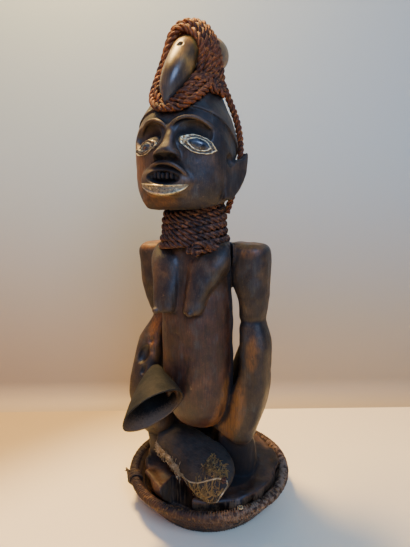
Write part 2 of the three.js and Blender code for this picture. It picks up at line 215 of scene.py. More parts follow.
# %% [markdown]
# ### Growing a rope
# A round tube would look like cable, so the rope is grown by Geometry Nodes: each step of the line
# is tilted a little more than the last, and a profile of three small circles is swept along it.
# The distance along and around each yarn is stored for the material, so that its fibres can
# follow the twist. The same two helpers start and end every growth tree in this lesson.

# %% The rope's geometry tree
def new_growth(name, *numbers):
    """A geometry tree that is given geometry, some named numbers and a finish, and its inputs."""
    tree = bpy.data.node_groups.new(name, "GeometryNodeTree")
    face = tree.interface
    face.new_socket("Geometry", in_out="INPUT", socket_type="NodeSocketGeometry")
    for label, kind, value in numbers:
        face.new_socket(label, in_out="INPUT", socket_type="NodeSocket" + kind).default_value = value
    face.new_socket("Finish", in_out="INPUT", socket_type="NodeSocketMaterial")
    face.new_socket("Geometry", in_out="OUTPUT", socket_type="NodeSocketGeometry")
    return tree, add(tree, "NodeGroupInput").outputs


def hand_out(tree, geometry, finish):
    """Makes the geometry real, gives it its finish and hands it out of the tree."""
    real = add(tree, "GeometryNodeRealizeInstances", {"Geometry": geometry})
    finished = add(tree, "GeometryNodeSetMaterial", {"Geometry": real.outputs[0], "Material": finish})
    add(tree, "NodeGroupOutput", {"Geometry": finished.outputs[0]})
    return tree


def rope_nodes():
    tree, given = new_growth(
        "hand_laid_rope", ("Rope radius", "Float", 0.0048), ("Yarns", "Int", 3),
        ("Lay length", "Float", 0.026), ("Step", "Float", 0.0015), ("Fullness", "Float", 1.08))

    steps = add(tree, "GeometryNodeResampleCurve",
                {"Curve": given["Geometry"], "Length": given["Step"]}, mode="LENGTH")
    place = add(tree, "GeometryNodeSplineParameter").outputs
    kept = add(tree, "GeometryNodeStoreNamedAttribute",
               {"Geometry": steps.outputs[0], "Name": "along", "Value": place["Length"]})
    sums = {}
    for result, operation, first, second in (
        ("turns", "DIVIDE", place["Length"], given["Lay length"]),
        ("twist", "MULTIPLY", "turns", 2 * math.pi),
        ("half angle", "DIVIDE", math.pi, given["Yarns"]),
        ("half turn", "SINE", "half angle", 0.0),
        ("one more", "ADD", "half turn", 1.0),
        ("share", "DIVIDE", "half turn", "one more"),
        ("yarn radius", "MULTIPLY", given["Rope radius"], "share"),
        ("offset", "SUBTRACT", given["Rope radius"], "yarn radius"),
        ("yarn share", "DIVIDE", add(tree, "GeometryNodeInputIndex").outputs[0], given["Yarns"]),
        ("yarn angle", "MULTIPLY", "yarn share", 2 * math.pi),
        ("cosine", "COSINE", "yarn angle", 0.0),
        ("sine", "SINE", "yarn angle", 0.0),
        ("yarn x", "MULTIPLY", "offset", "cosine"),
        ("yarn y", "MULTIPLY", "offset", "sine"),
        ("full radius", "MULTIPLY", "yarn radius", given["Fullness"]),
    ):
        inputs = {0: sums.get(first, first), 1: sums.get(second, second)}
        sums[result] = add(tree, "ShaderNodeMath", inputs, operation=operation).outputs[0]
    tilted = add(tree, "GeometryNodeSetCurveTilt", {"Curve": kept.outputs[0], "Tilt": sums["twist"]})
    centre = add(tree, "ShaderNodeCombineXYZ", {"X": sums["yarn x"], "Y": sums["yarn y"]})
    centres = add(tree, "GeometryNodePoints", {"Count": given["Yarns"], "Position": centre.outputs[0]})
    circle = add(tree, "GeometryNodeCurvePrimitiveCircle", {"Resolution": 10, "Radius": sums["full radius"]})
    around = add(tree, "GeometryNodeSplineParameter").outputs["Factor"]
    marked = add(tree, "GeometryNodeStoreNamedAttribute",
                 {"Geometry": circle.outputs[0], "Name": "around", "Value": around})
    yarns = add(tree, "GeometryNodeInstanceOnPoints",
                {"Points": centres.outputs[0], "Instance": marked.outputs[0]})
    profile = add(tree, "GeometryNodeRealizeInstances", {"Geometry": yarns.outputs[0]})
    swept = add(tree, "GeometryNodeCurveToMesh",
                {"Curve": tilted.outputs[0], "Profile Curve": profile.outputs[0], "Fill Caps": True})
    smooth = add(tree, "GeometryNodeSetShadeSmooth", {"Geometry": swept.outputs[0]})
    return hand_out(tree, smooth.outputs[0], given["Finish"])


rope_growth = rope_nodes()
print("nodes in the rope's tree:", len(rope_growth.nodes))

# %% [markdown]
# ### From a line to a mesh
# A tree runs as a modifier on a curve. Its inputs are set by their identifiers, because names may
# change, and its result is kept as a plain mesh that needs no modifier any more.

# %% Growing a piece
def link(thing):
    """Puts an object into the scene."""
    bpy.context.scene.collection.objects.link(thing)
    return thing


def grow(source, tree, name, **inputs):
    """Runs a geometry tree on an object and keeps the result as a plain mesh."""
    modifier = source.modifiers.new("growth", "NODES")
    modifier.node_group = tree
    sockets = {s.name: s.identifier for s in tree.interface.items_tree if s.in_out == "INPUT"}
    for key, value in inputs.items():
        modifier[sockets[key.replace("_", " ")]] = value
    seen = source.evaluated_get(bpy.context.evaluated_depsgraph_get())
    mesh = bpy.data.meshes.new_from_object(seen)
    mesh.name = name
    bpy.data.objects.remove(source)
    return link(bpy.data.objects.new(name, mesh))


def line_object(lines):
    """Open lines in metres, as one curve object."""
    curve = bpy.data.curves.new("line", "CURVE")
    curve.dimensions = "3D"
    for line in lines:
        spline = curve.splines.new("POLY")
        spline.points.add(len(line) - 1)
        spline.points.foreach_set("co", np.hstack([line, np.ones((len(line), 1))]).ravel())
    return link(bpy.data.objects.new("line", curve))


def rope(name, lines, radius, lay_length, finish):
    """Rope along lines in metres; one twist of its three yarns takes one lay length."""
    return grow(line_object(lines), rope_growth, name, Rope_radius=radius, Lay_length=lay_length,
                Finish=finish, Yarns=3, Step=0.0014, Fullness=1.1)


# %% [markdown]
# ### The rope's finish
# The rope is palm or bast fibre, rubbed with oil and camwood until it is a dark reddish brown.
# Twisted fibre scatters light and has only a dull sheen, so the finish is rough, with pale worn
# fibres on the crowns of the yarns and near-black dirt where the yarns meet.

# %% Rope finish
def fibre_material(name, dark, middle, pale, fibre_size, lit_side_colour=None):
    """Plant fibre with streaks that follow the yarn; where a lit-side colour is given, the side towards
    +x is painted paler with it as painted light, and the side towards -x darker as painted shade.
    """
    material, tree, shader, where, along, around = new_material(name, "along", "around")
    fibre_place = add(tree, "ShaderNodeCombineXYZ", {
        "X": product(tree, along, 0.12), "Y": product(tree, around, 14 * fibre_size * MM),
    }).outputs[0]
    # real fibres are about 0.2 mm thick and are drawn about three times as coarse, so that they show
    fibres = noise(tree, fibre_place, fibre_size, 3, 0.65)
    colour = add(tree, "ShaderNodeValToRGB", {"Fac": fibres},
                 stops=((0.32, dark), (0.52, middle), (0.72, pale))).outputs[0]
    colour = painted(tree, colour, dark, (noise(tree, where, 17, 2), 0.42, 0.66, 0, 0.75))
    colour = painted(tree, colour, pale, (noise(tree, where, 5, 3), 0.52, 0.72, 0, 0.7))
    if lit_side_colour:
        # Painted light on the side towards +x and painted shade on the side towards -x.
        across = add(tree, "ShaderNodeSeparateXYZ", {0: where}).outputs[0]
        colour = painted(tree, colour, lit_side_colour, (across, 0.02, 0.11), (noise(tree, where, 6, 3), 0.4, 0.6))
        colour = painted(tree, colour, dark, (across, -0.03, -0.1, 0, 0.8))
    finish_with(tree, shader, colour, product(tree, (fibres, 0.3, 0.7, 0.85, 0.55)), (fibres, 0.9, 0.8))
    return material


rope_fibre = fibre_material("oiled_plant_fibre_rope", "#170903", "#6c330b", "#b86a22", 0.6)
red_rope_fibre = fibre_material("camwood_stained_rope", "#0f0604", "#4a2818", "#8c5c38", 0.6)
print("rope finishes:", rope_fibre.name, "and", red_rope_fibre.name)

# %% [markdown]
# ## The hanging strand
# One strand leaves the lashing on the crown, runs down behind the left ear and goes under the
# winding on the neck. Both its ends are held, so its whole length shows. The route repeats the
# points of the plain solid, because a rope lies where its solid lies.

# %% The hanging strand
base_top = 59.3
strand_points = np.array([
    [34, -33, 562], [45, -24, 532], [55, -20, 503], [59, -18, 478], [58, -16, 450], [50, -15, 418],
    [41, -22, 384],
]) + [0, 0, base_top]
strand_radius = 4.6 * MM
strand_route = smooth_line(strand_points * MM, 3 * MM)
hanging_rope = rope("hanging_rope_strand", [strand_route], strand_radius, 0.021, rope_fibre)
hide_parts("hanging_rope")
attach(hanging_rope, "root")

# %% [markdown]
# ## Floor and wall
# The floor is plain and pale, and runs far enough for every view. A plain pale wall stands behind
# the figure and bends softly near the floor. It is clear from its back, so it never hides the
# figure. The paint of both fades a little, as it does in the photograph.

# %% Floor and wall
def disc(name, radius, sides):
    """A flat round sheet at the height of the floor."""
    angles = np.linspace(0, 2 * math.pi, sides, endpoint=False)
    ring = np.stack([radius * np.cos(angles), radius * np.sin(angles), 0 * angles], axis=1)
    mesh = bpy.data.meshes.new(name)
    mesh.from_pydata(ring.tolist(), [], [list(range(sides))])
    return link(bpy.data.objects.new(name, mesh))


floor = disc("floor", 4.0, 96)
wall_distance, wall_bend, wall_height, wall_half, wall_lift = 0.315, 0.05, 1.9, 2.6, 0.0004
away = np.array([forward[0], forward[1], 0]) / np.linalg.norm(forward[:2])
profile = [
    (wall_distance - wall_bend + wall_bend * math.sin(a), wall_bend - wall_bend * math.cos(a) + wall_lift)
    for a in np.linspace(0, math.pi / 2, 13)
] + [(wall_distance, wall_height)]
wall_points = [away * out + level_right * side + [0, 0, high] for side in (-wall_half, wall_half)
               for out, high in profile]
wall_faces = [[i, i + 1, len(profile) + i + 1, len(profile) + i] for i in range(len(profile) - 1)]
wall_mesh = bpy.data.meshes.new("pale_wall")
wall_mesh.from_pydata([tuple(point) for point in wall_points], [], [face[::-1] for face in wall_faces])
wall_mesh.polygons.foreach_set("use_smooth", [True] * len(wall_faces))
wall = link(bpy.data.objects.new("pale_wall", wall_mesh))


def pale_paint(name, way, start, end, first_colour, last_colour, one_sided=False):
    """Matte paint with painted light and shade, going from one colour to another along a way; a one-sided
    surface is clear from its back.
    """
    material, tree, shader, where = new_material(name)
    reach = add(tree, "ShaderNodeVectorMath", {0: where, 1: tuple(way)}, operation="DOT_PRODUCT")
    # Painted light and shade: the colour changes along the way.
    colour = painted(tree, first_colour, last_colour, (reach.outputs["Value"], start, end))
    finish_with(tree, shader, colour, 0.6)
    if one_sided:
        clear = add(tree, "ShaderNodeBsdfTransparent").outputs[0]
        back = add(tree, "ShaderNodeNewGeometry").outputs["Backfacing"]
        shown = add(tree, "ShaderNodeMixShader", {0: back, 1: shader.outputs[0], 2: clear})
        tree.links.new(shown.outputs[0], tree.nodes["Material Output"].inputs["Surface"])
    return material


# The floor is painted darker towards the back and the left, and the wall warm and darker low down, as
# painted light and shade.
back_and_left = 0.75 * away - 0.66 * level_right
floor.data.materials.append(pale_paint("matte_white_table", back_and_left, 0.13, 0.38,
                                       "#fff1cc", "#b8a273"))
wall.data.materials.append(pale_paint("matte_pale_wall", (0, 0, 1), 0.02, 0.62, "#ae9f82", "#abbdbf",
                                      one_sided=True))
print("wall faces", len(wall_faces))

# %% [markdown]
# ## Light
# The light is what the photograph shows: a warm lamp high up over the figure's right side, a weak
# one low at the left of the picture, a wide cool window at the right, and a cool pale room.

# %% Lights
def soft_light(name, place, target, size, power, colour):
    """A round soft lamp of so many watts that looks at a target."""
    lamp = bpy.data.lights.new(name, "AREA")
    lamp.shape = "DISK"
    lamp.size = size
    lamp.energy = power
    lamp.color = linear(colour)[:3]
    thing = link(bpy.data.objects.new(name, lamp))
    away = np.array(place) - np.array(target)
    z_axis = away / np.linalg.norm(away)
    x_axis = np.cross([0, 0, 1], z_axis)
    x_axis /= np.linalg.norm(x_axis)
    y_axis = np.cross(z_axis, x_axis)
    turn = Matrix([[x_axis[i], y_axis[i], z_axis[i]] for i in range(3)]).to_4x4()
    turn.translation = place
    thing.matrix_world = turn


figure_middle = (0.0, -0.02, 0.33)
soft_light("warm_lamp", (-0.38, -0.03, 1.52), figure_middle, 0.3, 49, "#ffcf7c")
soft_light("low_lamp", (-0.95, -0.5, 0.55), figure_middle, 0.3, 1.8, "#ff9f3e")
soft_light("cool_window", (0.72, -0.85, 1.1), figure_middle, 0.6, 15, "#a4c4ff")

world = bpy.data.worlds.new("pale_room")
bpy.context.scene.world = world
world.use_nodes = True
room_light = world.node_tree.nodes["Background"].inputs
room_light["Color"].default_value = linear("#7eacf5")
room_light["Strength"].default_value = 0.5
print("lights:", [lamp.name for lamp in bpy.data.lights])

# %% [markdown]
# ## Carving wood
# The real figure is one block of wood, roughed out with an adze and finished with a knife. A grid
# of distances works much as the block did: every cell holds how far it lies from the surface,
# forms are joined on or cut away with a soft or a crisp edge, and at the end the surface is drawn
# out as one closed skin. That gives the soft meeting of limb and body that separate meshes
# pushed into each other never have. Tables are [x, y, height], with height above the base's top.

# %% Forms to carve with
def soft_least(first, second, blend):
    """The smaller of two distances, with the corner between them rounded."""
    if blend <= 0:
        return np.minimum(first, second)
    near = np.maximum(blend - np.abs(first - second), 0)
    return np.minimum(first, second) - near * near / (4 * blend)


class Form:
    """A shape that knows its box and its distance from any place."""

    def __init__(self, low, high, distance):
        self.low, self.high, self.distance = low, high, distance


def stack(levels, power, rounding=3.0):
    """A solid through levels of [height, x, y, half width, half depth]; power 2 is round."""
    rows = smooth_line(levels if levels[0][0] < levels[-1][0] else levels[::-1], 1.5)
    heights = np.maximum.accumulate(rows[:, 0])
    middle_x, middle_y, half_x, half_y = rows[:, 1:].T
    climbing = np.maximum(heights, heights[0] + 1e-3 * np.arange(len(rows)))
    slope = np.gradient((half_x + half_y) / 2, climbing)
    steepness = np.sqrt(1 + np.clip(slope, -3, 3) ** 2)

    def distance(x, y, z):
        cx, cy, a, b, steep = (np.interp(z, heights, column)
                               for column in (middle_x, middle_y, half_x, half_y, steepness))
        dx, dy = x - cx, y - cy
        away = np.sqrt(dx * dx + dy * dy) + 1e-4
        share = (np.abs(dx / a) ** power + np.abs(dy / b) ** power) ** (1 / power)
        side = (away - away / share) / steep
        ends = np.maximum(heights[0] - z, z - heights[-1])
        return -soft_least(-side, -ends, rounding)

    low = [(middle_x - half_x).min(), (middle_y - half_y).min(), heights[0]]
    high = [(middle_x + half_x).max(), (middle_y + half_y).max(), heights[-1]]
    return Form(low, high, distance)


def limb(rows, step=4.0):
    """A round limb through [x, y, height, radius]."""
    line = smooth_line(rows, step)
    reach = line[:, 3].max()

    def distance(x, y, z):
        nearest = np.full(np.broadcast(x, y, z).shape, np.inf)
        for a, b in zip(line, line[1:]):
            way = b[:3] - a[:3]
            dx, dy, dz = x - a[0], y - a[1], z - a[2]
            share = np.clip((dx * way[0] + dy * way[1] + dz * way[2]) / (way @ way), 0, 1)
            off = (dx - share * way[0]) ** 2 + (dy - share * way[1]) ** 2 + (dz - share * way[2]) ** 2
            nearest = np.minimum(nearest, np.sqrt(off) - a[3] - share * (b[3] - a[3]))
        return nearest

    return Form(line[:, :3].min(0) - reach, line[:, :3].max(0) + reach, distance)


# %% [markdown]
# ### Eggs, slabs and plates
# These forms may be turned. They measure places along their own axes first, and then find the
# distance as if they stood straight.

# %% Forms that can be turned
def turned(turn, tilt):
    """Rows are the own axes of a form that tilts sideways, then turns about the upright."""
    return np.array((Matrix.Rotation(turn, 3, "Z") @ Matrix.Rotation(tilt, 3, "Y")).transposed())


def own_places(x, y, z, centre, axes):
    """Places measured from a form's centre along its own axes."""
    dx, dy, dz = x - centre[0], y - centre[1], z - centre[2]
    return [dx * axis[0] + dy * axis[1] + dz * axis[2] for axis in axes]


def egg(centre, halves, turn=0.0, tilt=0.0):
    """An egg with three half widths."""
    axes = turned(turn, tilt)

    def distance(x, y, z):
        u, v, w = own_places(x, y, z, centre, axes)
        size = np.sqrt((u / halves[0]) ** 2 + (v / halves[1]) ** 2 + (w / halves[2]) ** 2) + 1e-4
        slope = np.sqrt((u / halves[0] ** 2) ** 2 + (v / halves[1] ** 2) ** 2 + (w / halves[2] ** 2) ** 2)
        return size * (size - 1) / (slope + 1e-4)

    reach = max(halves)
    return Form(np.array(centre) - reach, np.array(centre) + reach, distance)


def slab(centre, halves, rounding=1.0, turn=0.0):
    """A block with three half widths and rounded edges."""
    axes = turned(turn, 0.0)

    def distance(x, y, z):
        over = [np.abs(p) - h + rounding for p, h in zip(own_places(x, y, z, centre, axes), halves)]
        outside = np.sqrt(sum(np.maximum(o, 0) ** 2 for o in over))
        return outside + np.minimum(np.maximum(np.maximum(over[0], over[1]), over[2]), 0) - rounding

    reach = float(np.linalg.norm(halves))
    return Form(np.array(centre) - reach, np.array(centre) + reach, distance)


def plate(corner, across, outline, thickness, rounding=2.0):
    """A flat plate whose outline is given across and upward from its corner."""
    across = np.array(across) / np.linalg.norm(across)
    through = np.array([across[1], -across[0], 0.0])
    points = np.array(outline, float)

    def distance(x, y, z):
        dx, dy, dz = x - corner[0], y - corner[1], z - corner[2]
        u, w = dx * across[0] + dy * across[1], dx * through[0] + dy * through[1]
        edge = np.full(np.broadcast(u, dz).shape, 1e6)
        side = np.ones(edge.shape)
        for (au, av), (bu, bv) in zip(points, np.roll(points, -1, axis=0)):
            eu, ev, pu, pv = bu - au, bv - av, u - au, dz - av
            share = np.clip((pu * eu + pv * ev) / (eu * eu + ev * ev), 0, 1)
            edge = np.minimum(edge, (pu - share * eu) ** 2 + (pv - share * ev) ** 2)
            rising, falling = (dz >= av) & (dz < bv), (dz < av) & (dz >= bv)
            turning = eu * pv > ev * pu
            side = np.where((rising & turning) | (falling & ~turning), -side, side)
        flat = np.sqrt(edge) * side
        return -soft_least(-flat, thickness / 2 - np.abs(w), rounding)

    spread = np.array([across * u + [0, 0, v] for u, v in points]) + corner
    return Form(spread.min(0) - thickness, spread.max(0) + thickness, distance)


def trimmed(form, place, way):
    """A form without the part that lies beyond a plane through a place."""
    way = np.array(way, float) / np.linalg.norm(way)

    def distance(x, y, z):
        beyond = (x - place[0]) * way[0] + (y - place[1]) * way[1] + (z - place[2]) * way[2]
        return np.maximum(form.distance(x, y, z), beyond)

    return Form(form.low, form.high, distance)


# %% [markdown]
# ### The block
# The block is the grid itself. Forms are joined to it or cut from it, its surface is worn a
# little uneven, and its skin is drawn through the places where the distance passes nought.

# %% The block, its surface and its skin
class Block:
    """A grid in millimetres; each cell holds its distance to the surface, negative inside."""

    empty, margin = 20.0, 12.0

    def __init__(self, low, high, cell):
        self.low, self.cell = np.array(low, float), cell
        counts = np.ceil((np.array(high) - self.low) / cell).astype(int) + 1
        self.axes = [self.low[i] + cell * np.arange(counts[i]) for i in range(3)]
        self.depth = np.full(counts, self.empty)

    def _meet(self, form, blend, sign):
        cuts = tuple(slice(*np.searchsorted(axis, [low - self.margin, high + self.margin]))
                     for axis, low, high in zip(self.axes, form.low, form.high))
        lines = [axis[cut] for axis, cut in zip(self.axes, cuts)]
        places = np.meshgrid(*lines, indexing="ij", sparse=True)
        shape = form.distance(*places)
        self.depth[cuts] = sign * soft_least(sign * self.depth[cuts], shape, blend)

    def join(self, form, blend=0.0):
        self._meet(form, blend, 1)

    def cut(self, form, blend=0.0):
        self._meet(form, blend, -1)

    def wear(self, depth, spacing, seed, amount=None):
        """Makes the surface uneven by up to a depth, with a bump about every spacing."""
        near = np.nonzero(np.abs(self.depth) < 4 * self.cell)
        places = self.low + self.cell * np.stack(near, axis=1)
        share = 1 if amount is None else amount(*places.T)
        self.depth[near] += depth * unevenness(places, spacing, seed) * share

    def sample(self, places):
        """The distance at any places, from the eight cells round each."""
        spot = (places - self.low) / self.cell
        spot = np.clip(spot, 0, np.array(self.depth.shape) - 1.001)
        cell = spot.astype(int)
        share = spot - cell
        found = 0
        for corner in np.ndindex(2, 2, 2):
            weight = np.prod(np.where(corner, share, 1 - share), axis=1)
            found = found + weight * self.depth[tuple((cell + corner).T)]
        return found

    def skin(self):
        """The surface as corner points and four-sided faces that look outwards."""
        depth, inside = self.depth, self.depth < 0
        count = sum(inside[tuple(slice(c, n - 1 + c) for c, n in zip(corner, inside.shape))].astype(np.int8)
                    for corner in np.ndindex(2, 2, 2))
        cells = np.argwhere((count > 0) & (count < 8))
        total, crossings = np.zeros((len(cells), 3)), np.zeros(len(cells))
        for start in np.ndindex(2, 2, 2):
            for axis in range(3):
                if start[axis]:
                    continue
                first = cells + start
                second = first.copy()
                second[:, axis] += 1
                a, b = depth[tuple(first.T)], depth[tuple(second.T)]
                crossed = (a < 0) != (b < 0)
                place = first + 0.0
                place[:, axis] += np.where(crossed, a / np.where(crossed, a - b, 1), 0)
                total += place * crossed[:, None]
                crossings += crossed
        number = np.full(count.shape, -1)
        number[tuple(cells.T)] = np.arange(len(cells))
        faces = []
        for axis in range(3):
            one, two = (axis + 1) % 3, (axis + 2) % 3
            ahead = np.roll(inside, -1, axis=axis)
            for outward in (True, False):
                edge = (inside & ~ahead) if outward else (~inside & ahead)
                edges = np.argwhere(edge)
                edges = edges[(edges.min(axis=1) > 0) & (edges < np.array(count.shape)).all(axis=1)]
                ring = []
                for back_one, back_two in ((1, 1), (0, 1), (0, 0), (1, 0)):
                    cell = edges.copy()
                    cell[:, one] -= back_one
                    cell[:, two] -= back_two
                    ring.append(number[tuple(cell.T)])
                faces.append(np.stack(ring if outward else ring[::-1], axis=1))
        return self.low + self.cell * total / crossings[:, None], np.vstack(faces)


# %% [markdown]
# ### From the block to a mesh
# The skin becomes a mesh in metres. A finish needs to know more than the shape, so numbers can be
# stored for each corner point. A very fine mesh is made lighter by merging needless small faces.

# %% Meshes from the block
def unevenness(places, spacing, seed):
    """Smooth random values between -1 and 1, with about one bump every spacing."""
    lattice = np.random.default_rng(seed).uniform(-1, 1, (24, 24, 24))
    spot = places / spacing + 100
    cell = np.floor(spot).astype(int)
    share = spot - cell
    share = share * share * (3 - 2 * share)
    found = 0
    for corner in np.ndindex(2, 2, 2):
        weight = np.prod(np.where(corner, share, 1 - share), axis=1)
        found = found + weight * lattice[tuple(((cell + corner) % 24).T)]
    return found


def mesh_object(name, points, faces):
    """A mesh object from points in carving millimetres and faces of any one number of corners."""
    mesh = bpy.data.meshes.new(name)
    faces = faces.tolist() if isinstance(faces, np.ndarray) else faces
    mesh.from_pydata((np.asarray(points) + [0, 0, base_top]) * MM, [], faces)
    mesh.polygons.foreach_set("use_smooth", [True] * len(mesh.polygons))
    mesh.update()
    return link(bpy.data.objects.new(name, mesh))


def store(piece, name, values):
    """Keeps one number for each corner point, for the piece's material to read."""
    piece.data.attributes.new(name, "FLOAT", "POINT").data.foreach_set("value", values.astype(np.float32))


def lighten(piece, most_triangles):
    """Merges needless small faces until the piece is light enough to share."""
    piece.data.calc_loop_triangles()
    triangles = len(piece.data.loop_triangles)
    if triangles <= most_triangles:
        return piece
    modifier = piece.modifiers.new("lighten", "DECIMATE")
    modifier.ratio = most_triangles / triangles
    seen = piece.evaluated_get(bpy.context.evaluated_depsgraph_get())
    lighter = bpy.data.meshes.new_from_object(seen)
    piece.modifiers.clear()
    old = piece.data
    piece.data = lighter
    lighter.name = old.name
    bpy.data.meshes.remove(old)
    return piece


def corner_points(piece):
    """The mesh's points in carving millimetres, and their normals."""
    count = len(piece.data.vertices)
    points, normals = np.empty(count * 3, np.float32), np.empty(count * 3, np.float32)
    piece.data.vertices.foreach_get("co", points)
    piece.data.vertices.foreach_get("normal", normals)
    return points.reshape(-1, 3) / MM - [0, 0, base_top], normals.reshape(-1, 3)


# %% [markdown]
# ## The body and its base
# Levels are [height, x, y, half width, half depth] from the bottom to the top or the other way.
# The carver kept the round foot of the log as a base and worked upwards: folded legs with the
# knees high, arms that end on the knees, a long trunk, square shoulders. The shins are squarer
# than the arms, so that they catch the light along one edge, as in the photograph.

# %% The body
body_cell = 1.7
body = Block([-112, -112, -56], [116, 112, 378], body_cell)
base_height, base_foot, base_flare, base_x = 52, 73, 31, 4
base_profile = [[0, 0], [0.13, 0.08], [0.66, 0.42], [0.95, 0.72], [1, 0.92], [0.95, 1]]
body.join(stack([[base_height * rise - base_height, base_x, 0, *[base_foot + base_flare * out] * 2]
                 for out, rise in base_profile], 2, 2))
notch_turn, notch_reach = -0.09, 104
notch_place = [base_x + notch_reach * math.sin(notch_turn), -notch_reach * math.cos(notch_turn), 0]
body.cut(slab(notch_place, [27, 34, 44], 2, turn=notch_turn), 2)
print("base", base_height, "mm high, grid of", body.depth.shape)

# %% [markdown]
# ### Levels of the body
# Each table climbs through one part, and a smooth skin runs through its levels. The torso hangs
# free above the base, the arms taper into the knees, and the two sides were carved by eye and are
# not mirror images.

# %% Levels of the body
torso_levels = [
    [74, 3, -28, 18, 18], [83, 3, -32, 30, 31], [98, 3, -35, 39, 41], [115, 2, -36, 45.5, 46],
    [140, 1, -36, 50, 48], [220, 1, -36, 50, 46], [270, 1, -36, 49, 43], [312, 0, -36, 48, 40],
    [332, 0, -36, 43, 36], [343, 0, -36, 35, 33], [372, 0, -38, 33, 32],
]
shoulder_levels = [
    [282, 0, -12, 66, 14], [294, 0, -12, 74, 20], [316, 0, -12, 76, 23], [336, 0, -12, 76, 22],
    [342, 0, -12, 72, 18],
]
left_arm_levels = [
    [218, 83, -14, 10, 10], [235, 77, -13, 16, 18], [248, 77, -13, 18, 21], [266, 77, -12, 20, 24],
    [287, 73, -11, 25, 27], [318, 71, -10, 28, 28], [334, 70, -10, 28, 28], [343, 70, -10, 21, 21],
]
right_arm_levels = [
    [218, -64, -16, 10, 10], [235, -65, -15, 16, 18], [250, -69, -14, 19, 21], [266, -71, -13, 22, 24],
    [287, -71, -12, 26, 27], [318, -72, -11, 28, 28], [334, -72, -11, 28, 28], [343, -70, -11, 21, 21],
]
left_shin_levels = [
    [239, 78, -14, 9, 10], [235, 78, -15, 15, 17], [222, 79, -16, 19, 20], [200, 82, -17, 21, 23],
    [165, 82, -18, 21, 25], [138, 77, -19, 25, 26], [110, 65, -20, 31, 27], [84, 55, -21, 33, 26],
    [64, 49, -22, 32, 24], [48, 46, -21, 24, 16],
]
right_shin_levels = [
    [239, -63, -17, 8, 9], [234, -63, -18, 14, 16], [220, -68, -19, 18, 19], [203, -77, -22, 20, 22],
    [185, -80, -26, 22, 24], [150, -85, -33, 23, 26], [129, -86, -36, 25, 27], [108, -85, -37, 27, 27],
    [70, -77, -35, 28, 25], [44, -70, -29, 21, 17],
]
left_foot_levels = [[-8, 51, -1, 27, 31], [14, 51, -3, 26, 29], [38, 51, -9, 25, 27], [66, 50, -14, 22, 22]]
right_foot_levels = [[-8, -70, -16, 24, 28], [12, -70, -17, 22, 24], [58, -72, -26, 20, 20]]
left_thigh = [
    [72, -8, 232, 12], [69, 12, 196, 18], [57, 24, 152, 23], [44, 33, 98, 27], [30, 36, 50, 30],
    [16, 36, 20, 24],
]
left_breast_levels = [
    [348, 33, -38, 14, 10], [342, 35, -44, 22, 16], [330, 33, -48, 27, 24], [318, 30, -51, 28, 28],
    [303, 26, -55, 24, 28], [290, 22.5, -59, 20, 27.5], [274, 18.5, -66, 15.5, 24],
    [260, 16.5, -73, 13.5, 20], [253, 16.5, -77, 10, 14],
]
right_breast_levels = [
    [348, -31, -38, 14, 10], [342, -32, -45, 20, 15], [325, -29, -51, 26, 26], [300, -26.5, -57, 22.5, 27],
    [280, -25.5, -65, 19, 25], [262, -25.5, -72, 16, 21], [254, -25, -76, 13, 17],
]

print("levels of the torso:", len(torso_levels), "and of the left shin:", len(left_shin_levels))

# %% [markdown]
# ### Joining and cutting the body
# Parts that grow out of each other are joined softly, and parts that only touch are joined with a
# crisp line. The left shin is cut flat along two planes, where the knife left it. Then come the
# groove at the left armpit, room for the cup, the hollows worn in the right shin, and the cracks
# of drying.

# %% Joining and cutting the body
body.join(stack(torso_levels, 2.2, 6), 4)
for side_rows in (left_thigh, [[-x, *rest] for x, *rest in left_thigh]):
    body.join(limb(side_rows), 6)
right_calf = [[-30, 30, 40, 26], [-50, 6, 46, 22], [-66, -12, 50, 20]]
left_calf = [[30, 30, 40, 26], [44, 10, 44, 22]]
for calf in (right_calf, left_calf):
    body.join(limb(calf), 6)
body.join(stack(left_foot_levels, 3), 1)
body.join(stack(right_foot_levels, 2.6), 3)
left_shin = trimmed(stack(left_shin_levels, 3.0, 5), (66, -46.5, 112), (-0.42, -0.9, 0.05))
body.join(trimmed(left_shin, (57, -45, 60), (-0.36, -0.25, -0.9)), 1.5)
body.join(stack(right_shin_levels, 2.8, 5), 2)
body.join(stack(left_arm_levels, 2.8, 5), 2)
body.join(stack(right_arm_levels, 2.8, 5), 2)
body.join(stack(shoulder_levels, 3.4, 6), 5)
for breast_levels, nipple in (
    (left_breast_levels, [17, -93, 257]), (right_breast_levels, [-34, -92, 257]),
):
    body.join(stack(breast_levels, 3.3, 4), 1.5)
    body.join(egg(nipple, [4.5, 5, 4.5]), 1.5)
arm_groove = [[47, -46, 350, 1.6], [54, -50, 344, 1.8], [60, -52, 322, 1.8], [58, -50, 302, 1.6]]
body.cut(limb(arm_groove), 0.3)
body.cut(slab([56.5, -45, 322], [1.3, 14, 23], 1, turn=0.42), 0.3)
room_for_cup = egg([-23, -90, 133], [14, 15, 14])
body.cut(room_for_cup, 1)
for hollow_place, halves, lean in (
    ([-81, -55, 178], [9, 10, 17], 0.4), ([-71, -49, 198], [5, 6, 8], 0.2),
    ([-79, -60, 156], [4, 6, 11], 0.25), ([-70, -52, 183], [2.6, 5, 6], 0),
):
    body.cut(egg(hollow_place, halves, 0, lean), 1)
for crack in (
    [[-9, -80.5, 248, 0.6], [-8, -82.5, 225, 1.2], [-7, -83, 202, 1.2], [-7.5, -83.6, 168, 0.6]],
    [[0.7, -80.7, 246, 0.6], [1.5, -83, 220, 1.1], [2.2, -83.4, 203, 1.1], [2, -83.8, 178, 0.6]],
    [[72, -44, 196, 0.8], [75, -45, 168, 1.2], [70, -47, 140, 0.8]],
):
    body.cut(limb(crack), 0.3)


def rim_of_base(x, y, z):
    """1 at the worn upper rim of the base, and nought away from it."""
    return np.clip((np.hypot(x - base_x, y) - 82) / 12, 0, 1) * np.clip((8 - z) / 8, 0, 1)


